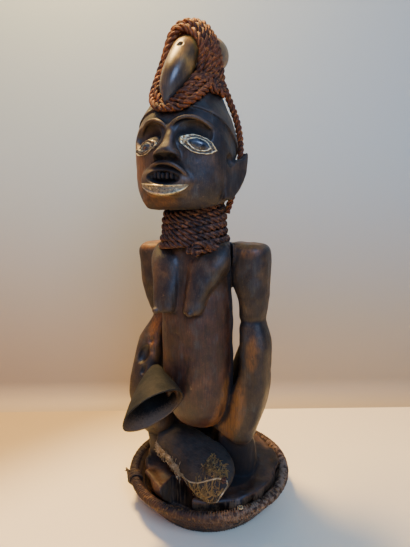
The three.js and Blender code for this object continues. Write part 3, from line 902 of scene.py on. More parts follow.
body.wear(0.9, 26, 1)
body.wear(0.5, 9, 2)
body.wear(3.6, 15, 9, rim_of_base)
body_points, body_faces = body.skin()
most_triangles = 190000
carved_body = lighten(mesh_object("carved_body", body_points, body_faces), most_triangles)
print("body faces", len(body_faces))

# %% [markdown]
# ## The head
# A smooth pointed cap ends in a crisp edge over the forehead. Brows like drawn bows cut off deep
# hollows, and the eyes swell out of the hollows as almonds. The nose has a thin bridge and a
# broad underside, and the lips stand open on a row of small teeth.

# %% The head
head_cell = 1.2
head = Block([-96, -134, 364], [96, 14, 590], head_cell)
head_levels = [
    [389, -2, -60, 46, 40], [393, -2, -60, 51, 44], [404, -2, -59, 58, 50], [420, -2, -58, 63, 53],
    [448, -2, -58, 64.5, 54], [470, -2, -58, 64.5, 54], [485, -2, -57, 62, 52], [500, -2, -55, 57, 48],
    [515, -2, -51, 49, 43], [530, -2, -46, 41, 37], [545, -2, -41, 34, 31], [560, -2, -36, 27, 25],
    [572, -2, -33, 19, 18], [580, -2, -32, 8, 8],
]
face_turn = 0.51
jaw_plane = ([0, -98, 388.5], [0, 0.25, -1])
cap_plane = ([0, -95, 509.7], [0, -0.79, -1])
skull = trimmed(stack(head_levels, 2.3, 4), *jaw_plane)
head.join(skull)
cap = stack([[h, x, y, a + 2.7, b + 2.7] for h, x, y, a, b in head_levels], 2.3, 4)
head.join(trimmed(cap, *cap_plane), 0.2)
brow = [
    [3, -110, 482, 2], [5, -110, 487, 2.1], [12.5, -110, 492.7, 2.2], [22, -107, 496, 2.2],
    [33, -103, 495, 2.2], [42, -97, 490.5, 2.2], [49, -90, 484, 2.1], [54.5, -82, 477, 2],
    [59.5, -72, 468, 1.6],
]
centre_x = 1.5
for side in (1, -1):
    own_brow = [[centre_x + side * (x - centre_x), y, height, radius] for x, y, height, radius in brow]
    head.cut(egg([centre_x + 33 * side, -111, 478], [29, 18, 18], side * face_turn), 0.5)
    head.cut(egg([centre_x + 29 * side, -106, 484], [23, 10, 9], side * face_turn, side * 0.1), 2)
    head.join(limb(own_brow), 2)
    head.join(egg([centre_x + 32 * side, -95.5, 464.5], [25, 10, 11.5], side * face_turn, side * 0.3), 1)
print("brow points", len(brow))

# %% [markdown]
# ### Nose and mouth
# The nose is a small stack cut off slantwise below, with two nostrils. The mouth is a swelling
# with an opening cut into it. The teeth stand in the opening, and each lip is a curved roll.

# %% Nose and mouth
nose_levels = [
    [490, 3.5, -104, 5, 6], [481, 4.5, -106, 6.5, 8], [468, 4, -109, 8.5, 12], [460, 2, -110, 13, 15.5],
    [455, 0.5, -110, 17.5, 15], [443, 0, -108, 18.5, 14],
]
head.join(trimmed(stack(nose_levels, 2.3, 2), [0, -126, 457], [0, -0.56, -0.83]), 2)
for side in (1, -1):
    head.cut(egg([0.5 + 8.8 * side, -117, 449], [5.8, 7, 6]), 1.2)
head.join(egg([-5, -105, 424], [35, 15, 21], 0, 0.08), 4)
upper_lip = [
    [-40, -98, 423, 1.6], [-38, -101, 428, 2], [-30, -107, 436, 2.4], [-14, -115, 443.5, 2.8],
    [0, -119, 444.6, 2.8], [12, -118, 441.5, 2.8], [23, -112, 432, 2.4], [27.5, -104, 422, 2],
    [28, -99, 416, 1.6],
]
head.cut(egg([-5, -131, 429], [33, 15, 15], 0, 0.1), 1)
head.join(limb(upper_lip), 1)
head.cut(egg([-3.5, -123, 427], [24, 17, 8.5], 0, 0.08), 1)
teeth, tooth_spacing = 7, 5.6
for column in range(teeth):
    tooth_x = -21 + tooth_spacing * column
    tooth_y = -114.5 + 0.012 * (tooth_x + 3.5) ** 2
    tooth_halves = [2.1, 3, 4.4 - 0.5 * (column % 2)]
    head.join(slab([tooth_x, tooth_y, 429.5 - 0.08 * tooth_x], tooth_halves, 1.4), 0.3)
lower_lip_line = [
    [-38, -98, 421.5, 1.5], [-27, -106, 416.5, 4.5], [-6, -112.5, 413, 6.4], [9, -112.5, 412.5, 6],
    [20, -106.5, 413, 4.5], [27, -99, 416, 1.5],
]
head.join(limb(lower_lip_line), 1.5)
print("teeth", teeth)

# %% [markdown]
# ### Ears, neck and skin
# The ears are flat flared plates, hollowed a little in front. The block is then worn uneven by
# half a millimetre, as a knife leaves it, and its skin is drawn.

# %% Ears, neck and skin
ear_outline = [
    [-12, 4], [2, 4], [13, 13], [24, 26], [31, 38], [33, 52], [33, 64], [24, 55], [8, 51], [-12, 51],
]
for side in (1, -1):
    head.join(plate([60 * side, -62, 397], [0.35 * side, 0.937, 0], ear_outline, 9, 3), 2)
    head.cut(egg([66 * side, -66, 449], [8, 9, 8]), 2)
head.join(stack([[364, 0, -38, 33, 32], [408, 0, -42, 33, 32]], 2.2, 1), 3)
head.wear(0.5, 22, 3)
head.wear(0.3, 8, 4)
head_points, head_faces = head.skin()
carved_head = lighten(mesh_object("carved_head", head_points, head_faces), most_triangles)
print("head faces", len(head_faces))

# %% [markdown]
# ### The wood's finish
# Years of oil, smoke and hands have darkened the wood in its hollows and rubbed it lighter along
# its edges, and on top of that the hollows are painted nearly black as painted shade. The trunk and
# the base were rubbed with red camwood. Places that face the warm lamp are painted a warm ochre as
# painted warm light, the base's side is painted lighter as painted light, and grey patches stand for
# dust and a painted cool sheen. Fine grain runs upright, as in the log. The finish reads from the
# mesh how much of each a place has, and lays its colours one over the other.

# %% Wood finish
def wood_material(name):
    material, tree, shader, where, painted_shade_and_dirt, edge, red, side, painted_warm_light = new_material(
        name, "painted_shade_and_dirt", "edge", "red", "side", "painted_warm_light")
    patches = noise(tree, where, 34, 5, 0.62)
    smears = noise(tree, where, 13, 4, 0.6, (1, 1, 0.55))
    # real grain is about 0.3 mm wide and is drawn four times as coarse, so that it shows
    grain = noise(tree, where, 1.3, 3, 0.6, (1, 1, 0.05))
    pores = noise(tree, where, 0.8, 2, 0.6, (1, 1, 0.4))
    oiled, camwood = (
        add(tree, "ShaderNodeValToRGB", {"Fac": patches},
            stops=((0.33, dark), (0.5, middle), (0.68, pale))).outputs[0]
        for dark, middle, pale in (("#150f0a", "#2f2216", "#594126"), ("#24110a", "#3e2213", "#5a3420")))
    colour = painted(tree, oiled, camwood, red)
    # Painted warm light: warm ochre where the forms of painted warm light lie.
    colour = painted(tree, colour, "#80501c", painted_warm_light, (smears, 0.3, 0.6, 0.5, 1))
    # Painted light: the base's side, which lies in shade, is painted lighter, with dark splits.
    splits = noise(tree, where, 6, 3, 0.7, (1, 1, 0.06))
    lit_base_side = painted(tree, "#24150d", "#8a6644", (splits, 0.4, 0.5))
    colour = painted(tree, colour, lit_base_side, side, 0.75)
    # Grey patches: dust, and a painted cool sheen.
    colour = painted(tree, colour, "#42443f", (smears, 0.5, 0.68, 0, 0.5))
    colour = painted(tree, colour, "#120b06", (smears, 0.46, 0.32, 0, 0.6))
    colour = painted(tree, colour, "#0b0603", (grain, 0.4, 0.62, 0.45, 0))
    colour = painted(tree, colour, "#77603f", (pores, 0.6, 0.72, 0, 0.22))
    chips, chipped_places = noise(tree, where, 5, 4, 0.7), noise(tree, where, 30, 2)
    colour = painted(tree, colour, "#8a6a42", (chips, 0.6, 0.72), (chipped_places, 0.5, 0.64, 0, 0.5))
    colour = painted(tree, colour, "#553f28", (edge, 0.2, 0.6, 0, 0.6), (pores, 0.4, 0.6, 0.3, 1))
    # Painted shade and grime: hollows and shaded places are painted near black.
    colour = painted(tree, colour, "#0a0503", (painted_shade_and_dirt, 0.1, 0.75, 0, 0.95))
    roughness = add(tree, "ShaderNodeMath", {
        0: product(tree, (smears, 0.3, 0.7, 0.42, 0.6)), 1: product(tree, (painted_shade_and_dirt, 0.1, 0.6, 0, 0.35)),
    }, operation="ADD").outputs[0]
    dents = noise(tree, where, 7, 5, 0.65, (1, 1, 0.6))
    finish_with(tree, shader, colour, roughness, (grain, 0.4, 0.7), (pores, 0.16, 0.6), (dents, 1.1, 0.6))
    return material


wood = wood_material("oiled_carved_wood")
print("wood finish:", wood.name)

# %% [markdown]
# ### Where the wood gets painted shade, grime, wear and painted warm light
# Hollows and edges are measured on the block: a corner that has wood close in front of it lies in
# a hollow, and one with little wood behind it lies on an edge. Hollows get painted shade and grime.
# Forms name the other places. Painted shade is added round both feet, in the mouth, under the nose,
# in the eye hollows, under the jaw, between the trunk and the right arm and on the left arm by the
# knee. Painted warm light goes on the right cheek, the chin, the knees, the shoulders and the inner
# side of the left shin.

# %% Where the wood gets painted shade, grime, wear and painted warm light
def mark_wear_shade_and_warm_light(piece, block, trunk=None, dirty=(), warm_lit_forms=()):
    """Stores for each corner its painted shade and grime from hollows and from the shaded forms, how far
    it lies on an edge, on the red trunk or the base's side, and in the forms of painted warm light."""
    places, ways = corner_points(piece)
    # Painted shade and grime: a corner with wood close in front of it is darkened.
    near, far = (np.clip(1 - block.sample(places + reach * ways) / reach, 0, 1) for reach in (2.5, 9))
    shade_and_dirt = 0.5 * near + 0.7 * far
    # The forms given as dirty add painted shade where shade falls.
    for form, amount in dirty:
        shade_and_dirt += amount * np.clip(0.5 - form.distance(*places.T) / 4, 0, 1)
    store(piece, "painted_shade_and_dirt", shade_and_dirt)
    wood_behind = block.sample(places - 4.5 * ways) / 4.5
    store(piece, "edge", np.clip(1 + wood_behind, 0, 1) * np.clip(1.3 - 2 * shade_and_dirt, 0, 1))
    red = np.zeros(len(places))
    if trunk is not None:
        x, y, z = places.T
        red = np.exp(-(trunk.distance(x, y, z) / 3) ** 2) * np.clip((320 - z) / 60, 0, 1)
        red = np.maximum(red, np.clip((4 - z) / 6, 0, 1))
    store(piece, "red", red)
    # Painted warm light: the given forms lie where the warm lamp falls, not where the wood is worn.
    painted_warm_light = np.zeros(len(places))
    for form in warm_lit_forms:
        painted_warm_light = np.maximum(painted_warm_light, np.clip(-form.distance(*places.T) / 8, 0, 1))
    store(piece, "painted_warm_light", painted_warm_light)
    store(piece, "side", np.clip((-1 - places[:, 2]) / 4, 0, 1) * np.clip(1.2 - shade_and_dirt, 0, 1))


# On the body, the first forms add painted shade round the feet and between the arms and the trunk, and the
# second ones add painted warm light.
mark_wear_shade_and_warm_light(carved_body, body, stack(torso_levels, 2.2, 6), dirty=(
    (egg([51, -27, 26], [36, 44, 38]), 0.75), (egg([-70, -28, 22], [34, 40, 34]), 0.3),
    (egg([-44, -62, 225], [16, 34, 66]), 0.22), (egg([74, -30, 268], [32, 34, 26]), 0.22),
), warm_lit_forms=(
    egg([46, -48, 105], [30, 22, 62], 0, 0.3), egg([-62, -46, 212], [18, 26, 50]),
    egg([74, -30, 344], [26, 34, 22]), egg([-78, -30, 344], [22, 30, 16]),
    egg([84, -46, 196], [12, 22, 30]),
))
# On the head, painted shade goes in the mouth, under the nose, in the eye hollows and under the jaw, and
# painted warm light on the right cheek and the chin.
mark_wear_shade_and_warm_light(carved_head, head, dirty=(
    (egg([-3.5, -118, 429], [25, 15, 7.5], 0, 0.08), 0.4), (egg([1, -119, 449.5], [19, 13, 5.4]), 0.9),
    (egg([34, -100, 479], [24, 16, 10], face_turn), 0.15),
    (egg([-31, -100, 479], [24, 16, 10], -face_turn), 0.15), (egg([-8, -100, 392], [60, 50, 14]), 0.3),
), warm_lit_forms=(egg([-48, -92, 440], [22, 26, 34]), egg([-20, -100, 400], [34, 26, 16])))
for piece in (carved_body, carved_head):
    piece.data.materials.append(wood)
    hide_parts("carved_figure")
    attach(piece, "root")
print("wood finish on", carved_body.name, "and", carved_head.name)

# %% [markdown]
# ## The bird's head
# A real bird's head, with a thick curved beak, is tied over the crown with its tip down on the
# forehead. Horn is smooth and polishes itself with handling, so it is the one glossy piece.

# %% Bird's head and beak
bird_cell = 1.2
bird = Block([-30, -110, 500], [34, 56, 636], bird_cell)
bird_line = [
    [-5, -102, 513, 1.5], [-4, -100, 524, 7], [-2, -96, 536, 12.5], [1.5, -88, 550, 16.5],
    [4, -77, 566, 17.8], [4, -60, 582.5, 19], [2, -38, 590, 20], [2, -12, 595, 20], [3, 12, 603, 23],
    [3, 30, 605, 21], [3, 40, 604, 12],
]
bird.join(limb(bird_line, 3))
nostril = egg([7.4, -87, 584.5], [4, 7, 3.2], 0.3)
bird.cut(nostril, 1)
bird.wear(0.3, 14, 5)
bird_points, bird_faces = bird.skin()
bird_head = mesh_object("beaked_bird_head", bird_points, bird_faces)
print("bird's head faces", len(bird_faces))

# %% [markdown]
# ### The horn's finish
# Old horn is yellow-brown and cloudy over the forehead and darkens to grey towards the tip of the
# beak. It grows in fine layers along its length. Handling has polished it, so its roughness is
# low and a lamp shows in it as a long streak.

# %% Horn finish
def horn_material(name):
    material, tree, shader, where = new_material(name)
    clouds = noise(tree, where, 30, 4)
    growth = noise(tree, where, 1.6, 3, 0.6, (1, 0.12, 0.12))
    height = add(tree, "ShaderNodeSeparateXYZ", {0: where}).outputs[2]
    aged = add(tree, "ShaderNodeValToRGB", {"Fac": clouds},
               stops=((0.35, "#46341b"), (0.5, "#6f5226"), (0.65, "#99712f"))).outputs[0]
    colour = painted(tree, "#3d4041", aged, (height, 0.574, 0.618))
    colour = painted(tree, colour, "#19120b", (growth, 0.35, 0.65, 0.4, 0))
    colour = painted(tree, colour, "#c98f4e", (noise(tree, where, 3, 3, 0.7), 0.66, 0.74, 0, 0.8))
    finish_with(tree, shader, colour, product(tree, (clouds, 0.3, 0.7, 0.3, 0.44)), (growth, 0.2, 0.5))
    return material


bird_head.data.materials.append(horn_material("polished_horn"))
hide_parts("bird_head")
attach(bird_head, "root")
print("horn finish on", bird_head.name)

# %% [markdown]
# ## Laying rope
# Rope on a carving lies where it is pulled: it takes the short way, rests on what is under it,
# and pushes its neighbours aside. Each line below starts as listed points and is then
# tightened a little, pass by pass, while the carving, the beak and the rope that was laid before
# it push it out to their surfaces.

# %% Lines that rest on the carving
laid_rope = []


def nearest_surface(places, blocks):
    """The distance to whichever block is nearest."""
    return np.min([block.sample(places) for block in blocks], axis=0)


def lay(points, radius, blocks, passes=3, tension=0.2, step=4.0):
    """Lays a rope line over the blocks and beside the rope that lies there already."""
    line = smooth_line(points, step)[:, :3]
    for _ in range(passes):
        line[1:-1] += tension * (line[:-2] + line[2:] - 2 * line[1:-1])
        depth = nearest_surface(line, blocks)
        slope = np.stack([nearest_surface(line + shift, blocks) - nearest_surface(line - shift, blocks)
                          for shift in np.eye(3)], axis=1)
        slope /= np.linalg.norm(slope, axis=1, keepdims=True) + 1e-6
        line += slope * np.maximum(radius - depth, 0)[:, None]
        if laid_rope:
            others = np.vstack(laid_rope)
            gaps = line[:, None] - others[None]
            distance = np.linalg.norm(gaps, axis=2)
            closest = distance.argmin(axis=1)
            rows = np.arange(len(line))
            gap, near = distance[rows, closest], gaps[rows, closest]
            push = np.maximum(1.9 * radius - gap, 0) / (gap + 1e-6)
            line += 0.5 * near * push[:, None]
    laid_rope.append(line.copy())
    every_other = line[::2] if len(line) % 2 else np.vstack([line[::2], line[-1]])
    return smooth_line(every_other, 2.0)


def to_metres(line):
    """Places in carving millimetres, as metres over the floor."""
    return (line + [0, 0, base_top]) * MM


# %% [markdown]
# ### The lashing on the crown
# Seen from the front, a hood of side-by-side strands goes over the bird's head. On one side the
# strands turn round under the beak's tip and spread over the forehead; on the other they end in
# two hanging loops.

# %% Head rope
head_rope_radius = 4.5
inner_strand = [
    [9, -80, 541], [18, -70, 547], [24, -67, 554], [25, -68, 565], [28, -67, 574], [27, -67, 583],
    [23, -67, 591], [18, -67, 599], [11, -67, 606], [2, -68, 610], [-6, -68, 608],
    [-11, -68, 602], [-14, -70, 589],
    [-16.5, -73, 574], [-20, -77, 558], [-22.5, -82, 544], [-25, -88, 533], [-19, -94, 525], [-5, -99, 518],
    [9, -99, 516], [18, -95, 519], [25, -87, 526], [27, -77, 534], [28, -68, 540],
]
outer_strand = [
    [3, -91, 531], [14, -83, 537], [22, -73, 543], [28, -63, 549], [31, -58, 562], [31, -57, 578],
    [28, -57, 592], [23, -57, 604], [15, -57, 613], [6, -58, 618], [-5, -58, 618], [-14, -58, 613],
    [-19, -60, 604], [-22.5, -63, 590], [-26, -68, 572], [-29.5, -75, 554], [-31.5, -82, 538],
    [-29.5, -90, 525], [-23, -97, 515], [-8, -104, 511], [8, -104, 508],
    [18, -100, 510], [26, -93, 516], [31, -82, 524], [33, -71, 531],
    [33, -60, 538],
]
looped_strand = [
    [-22, -88, 537], [-6, -95, 526], [6, -94, 525], [17, -88, 528], [24, -79, 535], [28, -70, 543],
    [32, -56, 556], [33, -48, 570], [33, -47, 584], [30, -47, 598], [24, -47, 609], [15, -48, 618],
    [4, -48, 623], [-8, -48, 621], [-18, -49, 611], [-24, -52, 594], [-28, -58, 574], [-31, -66, 554],
    [-32, -74, 540], [-34, -62, 545], [-32, -52, 560], [-29, -44, 578], [-25, -39, 597], [-17, -38, 613],
    [-4, -38, 623], [8, -38, 625], [19, -38, 619], [27, -38, 608], [32, -38, 595], [34, -39, 580],
    [35, -42, 565], [37, -47, 550], [39, -54, 536], [38, -61, 527], [34, -65, 530], [33, -60, 542],
]
last_strand = [
    [-35, -48, 544], [-33, -38, 562], [-27, -32, 586], [-19, -29, 606], [-6, -29, 618], [7, -29, 621],
    [19, -29, 616], [29, -30, 603], [34, -31, 586], [37, -32, 572], [39, -33, 558], [42, -37, 543],
    [44, -44, 532], [42, -51, 526], [39, -48, 533], [38, -42, 545],
]
head_lines = [lay(points, head_rope_radius, (head, bird))
              for points in (inner_strand, outer_strand, looped_strand, last_strand)]
pressed_flat = 1.07
head_rope = rope("lashing_on_the_crown", [to_metres(line) for line in head_lines],
                 pressed_flat * head_rope_radius * MM, 0.027, rope_fibre)
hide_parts("head_rope")
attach(head_rope, "root")
print("head rope", round(sum(line_length(line) for line in head_lines)), "mm long")

# %% [markdown]
# ### The winding on the neck
# A slightly thicker and redder rope goes a little more than six times round the neck, each turn
# on the one below. The low turns lie on the shoulders and are wider, and the upper ones follow
# the slope of the jaw. Its end comes out in front in a small loop and is left to fray.

# %% Neck rope
neck_rope_radius, neck_turns, neck_rise = 5.2, 6.45, 60
neck_middle_y, lowest_turn = -39, 336
angles = np.linspace(0, neck_turns * 2 * math.pi, 280)
progress = angles / angles[-1]
winding_radius = 38 + 7.5 * (1 - progress) ** 1.5 + 0.9 * np.sin(1.7 * angles)
start_angle = -1.35
winding_x = winding_radius * np.cos(angles + start_angle)
winding_y = winding_radius * np.sin(angles + start_angle)
jaw_slope = 0.25 * winding_y + 0.06 * winding_x
slack = 1.4 * np.sin(angles + 0.6) + 0.9 * np.sin(2.3 * angles)
winding = np.stack([
    winding_x, winding_y + neck_middle_y,
    lowest_turn + neck_rise * progress + jaw_slope * progress ** 1.5 + slack,
], axis=1)
loose_end = [[38, -72, 343], [32, -80, 346], [26, -85, 345], [22, -88, 340], [25, -89, 336], [29, -86, 339]]
neck_line = evenly(winding, 3.0)
end_line = smooth_line(loose_end, 2.0)
neck_rope = rope("winding_on_the_neck", [to_metres(neck_line), to_metres(end_line)],
                 neck_rope_radius * MM, 0.026, red_rope_fibre)
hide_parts("neck_rope")
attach(neck_rope, "root")
print("neck rope", round(line_length(neck_line)), "mm long")

# %% [markdown]
# ## Metal foil on the eyes and the lower lip
# Thin foil, cut as an almond and pressed on with a thumb, takes the shape of the wood below and
# crumples at its rim. Each sheet is laid on the carved surface from the front, point by point.

# %% Foil
def lay_on(block, places, way, gap):
    """Moves places along a way until they are a gap above the block's surface."""
    places = places.copy()
    for _ in range(30):
        places += np.array(way) * (0.7 * (block.sample(places) - gap))[:, None]
    return places


def closed_sheet(name, front, back, rows, around):
    """A thin closed sheet from two equal grids, rows by around, which runs round and closes."""
    count = rows * around

    def ring_faces(offset, flip):
        faces = []
        for r in range(rows - 1):
            for a in range(around):
                b = (a + 1) % around
                face = [offset + r * around + a, offset + r * around + b,
                        offset + (r + 1) * around + b, offset + (r + 1) * around + a]
                faces.append(face[::-1] if flip else face)
        return faces

    faces = ring_faces(0, True) + ring_faces(count, False)
    outer = (rows - 1) * around
    for a in range(around):
        b = (a + 1) % around
        faces.append([outer + a, count + outer + a, count + outer + b, outer + b][::-1])
        faces.append([a, count + a, count + b, b])
    return mesh_object(name, np.vstack([front, back]), faces)


# %% [markdown]
# ### The eye covers
# Each eye is an almond of foil with a raised rim all round, a second rim round the eye itself and
# a smooth dome inside that. How bright each point of the foil still is goes into the mesh.

# %% Eye covers
def eye_foil(name, side, middle, tilt, size=1.0, shine=1.0, rows=34, around=150):
    """An almond of foil with two raised rims, and a dome for the eye inside the inner rim."""
    axes = turned(side * face_turn, side * tilt)
    along, out, up_way = axes[0], -axes[1], axes[2]
    angles = np.linspace(0, 2 * math.pi, around, endpoint=False)
    share = np.linspace(0.02, 1, rows)[:, None]
    wobble = 1 + 0.02 * np.sin(7 * angles + side) + 0.015 * np.sin(17 * angles)
    across = size * (24 * np.cos(angles) * share * wobble + 2.8 * side * (1 - share))
    high = 10.5 * size * np.sin(angles) * np.abs(np.sin(angles)) ** 0.55 * share ** 0.85 * wobble
    starts = np.array(middle) + across[..., None] * along + high[..., None] * up_way + 22 * out
    base = lay_on(head, starts.reshape(-1, 3), -out, 0.4)
    corner = np.clip((-side * across / 24 - 0.42) / 0.25, 0, 1) * (share > 0.6)
    outer_rim = np.exp(-((share - 0.93) / 0.055) ** 2)
    inner_rim = np.exp(-((share - 0.6) / 0.05) ** 2)
    dome = np.sqrt(np.maximum(0, 1 - (share / 0.54) ** 2))
    folds = unevenness(base, 2.2, 7).reshape(rows, around)
    lift = 0.3 + 1.5 * outer_rim + 1.2 * inner_rim + 2.4 * dome
    lift = lift + (0.3 + 0.9 * corner) * folds * (share > 0.64)
    piece = closed_sheet(name, base + lift.reshape(-1, 1) * out, base - 0.8 * out, rows, around)
    bright = np.maximum(np.maximum(outer_rim, 0.85 * inner_rim), corner * (0.5 + folds)) + 0 * angles
    store(piece, "bright", np.tile(shine * bright.ravel(), 2))
    ball = np.broadcast_to(np.clip((0.55 - share) / 0.05, 0, 1), bright.shape)
    store(piece, "ball", np.tile(ball.ravel(), 2))
    return piece


# %% [markdown]
# ### The foil's finish
# The foil is a thin pale metal, shiny where it stands up and worn through or dirty in its folds.
# Only the shown foil is metallic, and the rest is the dark wood and dirt below it.

# %% Foil finish
def foil_material(name):
    material, tree, shader, where, bright, ball = new_material(name, "bright", "ball")
    worn_through = noise(tree, where, 3.4, 4, 0.7)
    whole = product(tree, (bright, 0.3, 0.75), (worn_through, 0.36, 0.52, 0.15, 1))
    flecks = product(tree, (noise(tree, where, 1.8, 3, 0.7), 0.58, 0.66, 0, 0.6), (ball, 0, 0.5, 1, 0))
    shown = add(tree, "ShaderNodeMath", {0: whole, 1: flecks}, operation="MAXIMUM").outputs[0]
    dirty = add(tree, "ShaderNodeValToRGB", {"Fac": worn_through},
                stops=((0.4, "#1f1912"), (0.62, "#5c523e"))).outputs[0]
    eyeball = add(tree, "ShaderNodeValToRGB", {"Fac": noise(tree, where, 7, 2)},
                  stops=((0.42, "#14171a"), (0.6, "#39424a"))).outputs[0]
    colour = painted(tree, painted(tree, dirty, eyeball, ball), "#e0d2a4", shown)
    tree.links.new(product(tree, (shown, 0.2, 0.8, 0, 0.85)), shader.inputs["Metallic"])
    roughness = add(tree, "ShaderNodeMath", {
        0: product(tree, (shown, 0, 1, 0.5, 0.3)), 1: product(tree, ball, 0.32),
    }, operation="SUBTRACT").outputs[0]
    finish_with(tree, shader, colour, roughness, (noise(tree, where, 1.4, 2), 0.3, 0.5))
    return material


foil = foil_material("pressed_pale_foil")
left_eye = eye_foil("left_eye_cover", 1, [33.5, -97, 464.5], 0.316)
right_eye = eye_foil("right_eye_cover", -1, [-27.5, -98, 464.5], 0.2, 0.86, shine=0.62)
print("eye covers:", left_eye.name, right_eye.name)

# %% [markdown]
# ### The lip cover
# A strip of the same foil lies on the lower lip. It has a narrow fold along its upper edge and a
# broad one below, and takes the shape of the lip by being laid on from the front.

# %% Lip cover
lip_columns, lip_rows = 96, 26
u, v = np.meshgrid(np.linspace(-1, 1, lip_columns), np.linspace(0, 1, lip_rows))
lip_across = -6 + 33 * u
lip_top = 419.6 - 2 * u + 0.8 * u ** 2
lip_bottom = lip_top - 1 - 12.6 * (1 - np.abs(u) ** 2.2) ** 0.8
lip_height = lip_top + (lip_bottom - lip_top) * v
lip_starts = np.stack([lip_across, np.full(u.shape, -150.0), lip_height], axis=-1).reshape(-1, 3)
lip_base = lay_on(head, lip_starts, (0, 1, 0), 0.3)
top_fold, bottom_fold = np.exp(-((v - 0.07) / 0.08) ** 2), np.exp(-((v - 0.86) / 0.13) ** 2)
lip_folds = unevenness(lip_base, 3, 8).reshape(u.shape)
lip_lift = 0.4 + (1 - np.abs(u) ** 4) * (1.5 * top_fold + 2.2 * bottom_fold) + 0.25 * lip_folds
lip_front = lip_base + lip_lift.ravel()[:, None] * [0, -1, -0.1]
lip_back = lip_base + [0, 1.0, 0]
lip_bright = np.maximum(np.maximum(0.8 * top_fold, 1.2 * bottom_fold), np.maximum(0.9 * lip_folds, 0.42))


def open_sheet(name, front, back, rows, columns):
    """A thin closed sheet from two equal grids, rows by columns, with a rim all round."""
    count = rows * columns
    faces = []
    for r in range(rows - 1):
        for c in range(columns - 1):
            a = r * columns + c
            face = [a, a + 1, a + columns + 1, a + columns]
            faces += [face[::-1], [count + i for i in face]]
    edge = (list(range(columns)) + [r * columns + columns - 1 for r in range(1, rows)]
            + [(rows - 1) * columns + c for c in range(columns - 2, -1, -1)]
            # The floor is plain and pale, and runs far enough for every view. A plain pale wall stands
            # behind the figure and bends softly near the floor. It is clear from its back, so it never hides
            # the figure. Both are painted with light and shade: the floor bright and warm near the figure
            # and darker towards the back and the left, the wall warm and darker low down and cool and paler
            # high up.
            + [r * columns for r in range(rows - 2, 0, -1)])
    for a, b in zip(edge, edge[1:] + edge[:1]):
        faces.append([a, b, count + b, count + a])
    return mesh_object(name, np.vstack([front, back]), faces)


lower_lip = open_sheet("lower_lip_cover", lip_front, lip_back, lip_rows, lip_columns)
store(lower_lip, "bright", np.tile(lip_bright.ravel(), 2))
store(lower_lip, "ball", np.zeros(2 * u.size))
for piece, node in ((left_eye, "left_eye_foil"), (right_eye, "right_eye_foil"), (lower_lip, "lip_foil")):
    piece.data.materials.append(foil)
    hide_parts(node)
    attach(piece, "root")
print("foil covers:", left_eye.name, right_eye.name, lower_lip.name)

# %% [markdown]
# ## The cup
# A thin-walled funnel, dry and matte, is fixed against the belly. Its wall is rings drawn out
# along a bent line, once for the outside and once for the inside, so that the mouth is open and
# its edge shows a real thickness. The inside of the lower lip has a paler band of painted light,
# which is stored on the mesh.

# %% Cup
def unit_vector(values):
    """The same way, one long."""
    values = np.array(values, float)
    return values / np.linalg.norm(values)


throat, mouth = np.array([-59.0, -57, 161]), np.array([-22.0, -125, 131.5])
throat_way, mouth_way = unit_vector([0.45, -0.6, -0.65]), unit_vector([0.72, -0.386, -0.574])
bend = (throat + mouth) / 2 - 3 * mouth_way
cup_around, throat_radius, flare = 96, 7, 37


def cup_ring(t, thinner):
    """The ring of the cup's wall at a share of the way from its throat to its mouth."""
    middle = (1 - t) ** 2 * throat + 2 * t * (1 - t) * bend + t * t * mouth
    way = unit_vector((1 - t) * throat_way + t * mouth_way)
    sideways = unit_vector(np.cross([0, 0, 1], way))
    upward = np.cross(way, sideways)
    turn = np.linspace(0, 2 * math.pi, cup_around, endpoint=False)[:, None]
    radius = throat_radius + flare * t ** 0.9 - thinner
    wave = 1 + 0.012 * np.sin(3 * turn + 1) + 0.008 * np.sin(7 * turn)
    return middle + radius * wave * (np.cos(turn) * sideways + np.sin(turn) * upward)


def lofted(name, rings):
    """A closed skin through rings of points, with its two ends closed by fans."""
    count, around = len(rings), len(rings[0])
    points = np.vstack([*rings, rings[0].mean(axis=0)[None], rings[-1].mean(axis=0)[None]])
    first_hub, last_hub = count * around, count * around + 1
    faces = []
    for a in range(around):
        b = (a + 1) % around
        for r in range(count - 1):
            faces.append([r * around + a, r * around + b, (r + 1) * around + b, (r + 1) * around + a])
        faces.append([first_hub, b, a])
        faces.append([last_hub, (count - 1) * around + a, (count - 1) * around + b])
    return mesh_object(name, points, faces)


outer_shares, inner_shares, cup_wall = np.linspace(0, 1, 40), np.linspace(1, 0.14, 36), 2.6
cup_rings = [cup_ring(t, 0) for t in outer_shares] + [cup_ring(t, cup_wall) for t in inner_shares]
cup = lofted("funnel_cup", cup_rings)
inside = [0.0] * len(outer_shares) + [1.0] * len(inner_shares)
toward_mouth = [*outer_shares, *inner_shares]
around_cup = np.linspace(0, 2 * math.pi, cup_around, endpoint=False)
# Painted light: a pale band on the inner side of the lower lip, where light from above falls.
lower_side = 0.5 + 0.5 * np.cos(around_cup + 1.2)
painted_lip_light = [np.clip((t - 0.8 + 0.08 * lower_side) / 0.2, 0, 1) * lower_side * painted_shade_inside
        for t, painted_shade_inside in zip(toward_mouth, inside)]
for kept, rows, hubs in (("inside", [np.full(cup_around, value) for value in inside], [0, 1]),
                         ("painted_lip_light", painted_lip_light, [0, 0])):
    store(cup, kept, np.concatenate([*rows, hubs]))
print("cup mouth", round(2 * (throat_radius + flare - cup_wall)), "mm wide inside")


# %% [markdown]
# ### The cup's finish
# The wall is dry and dull, like a gourd's shell: dark greenish grey outside, and painted nearly black
# inside as painted shade, with a pale band of painted light on the inside of the lower lip. It hardly
# shines, so its specular level is low.

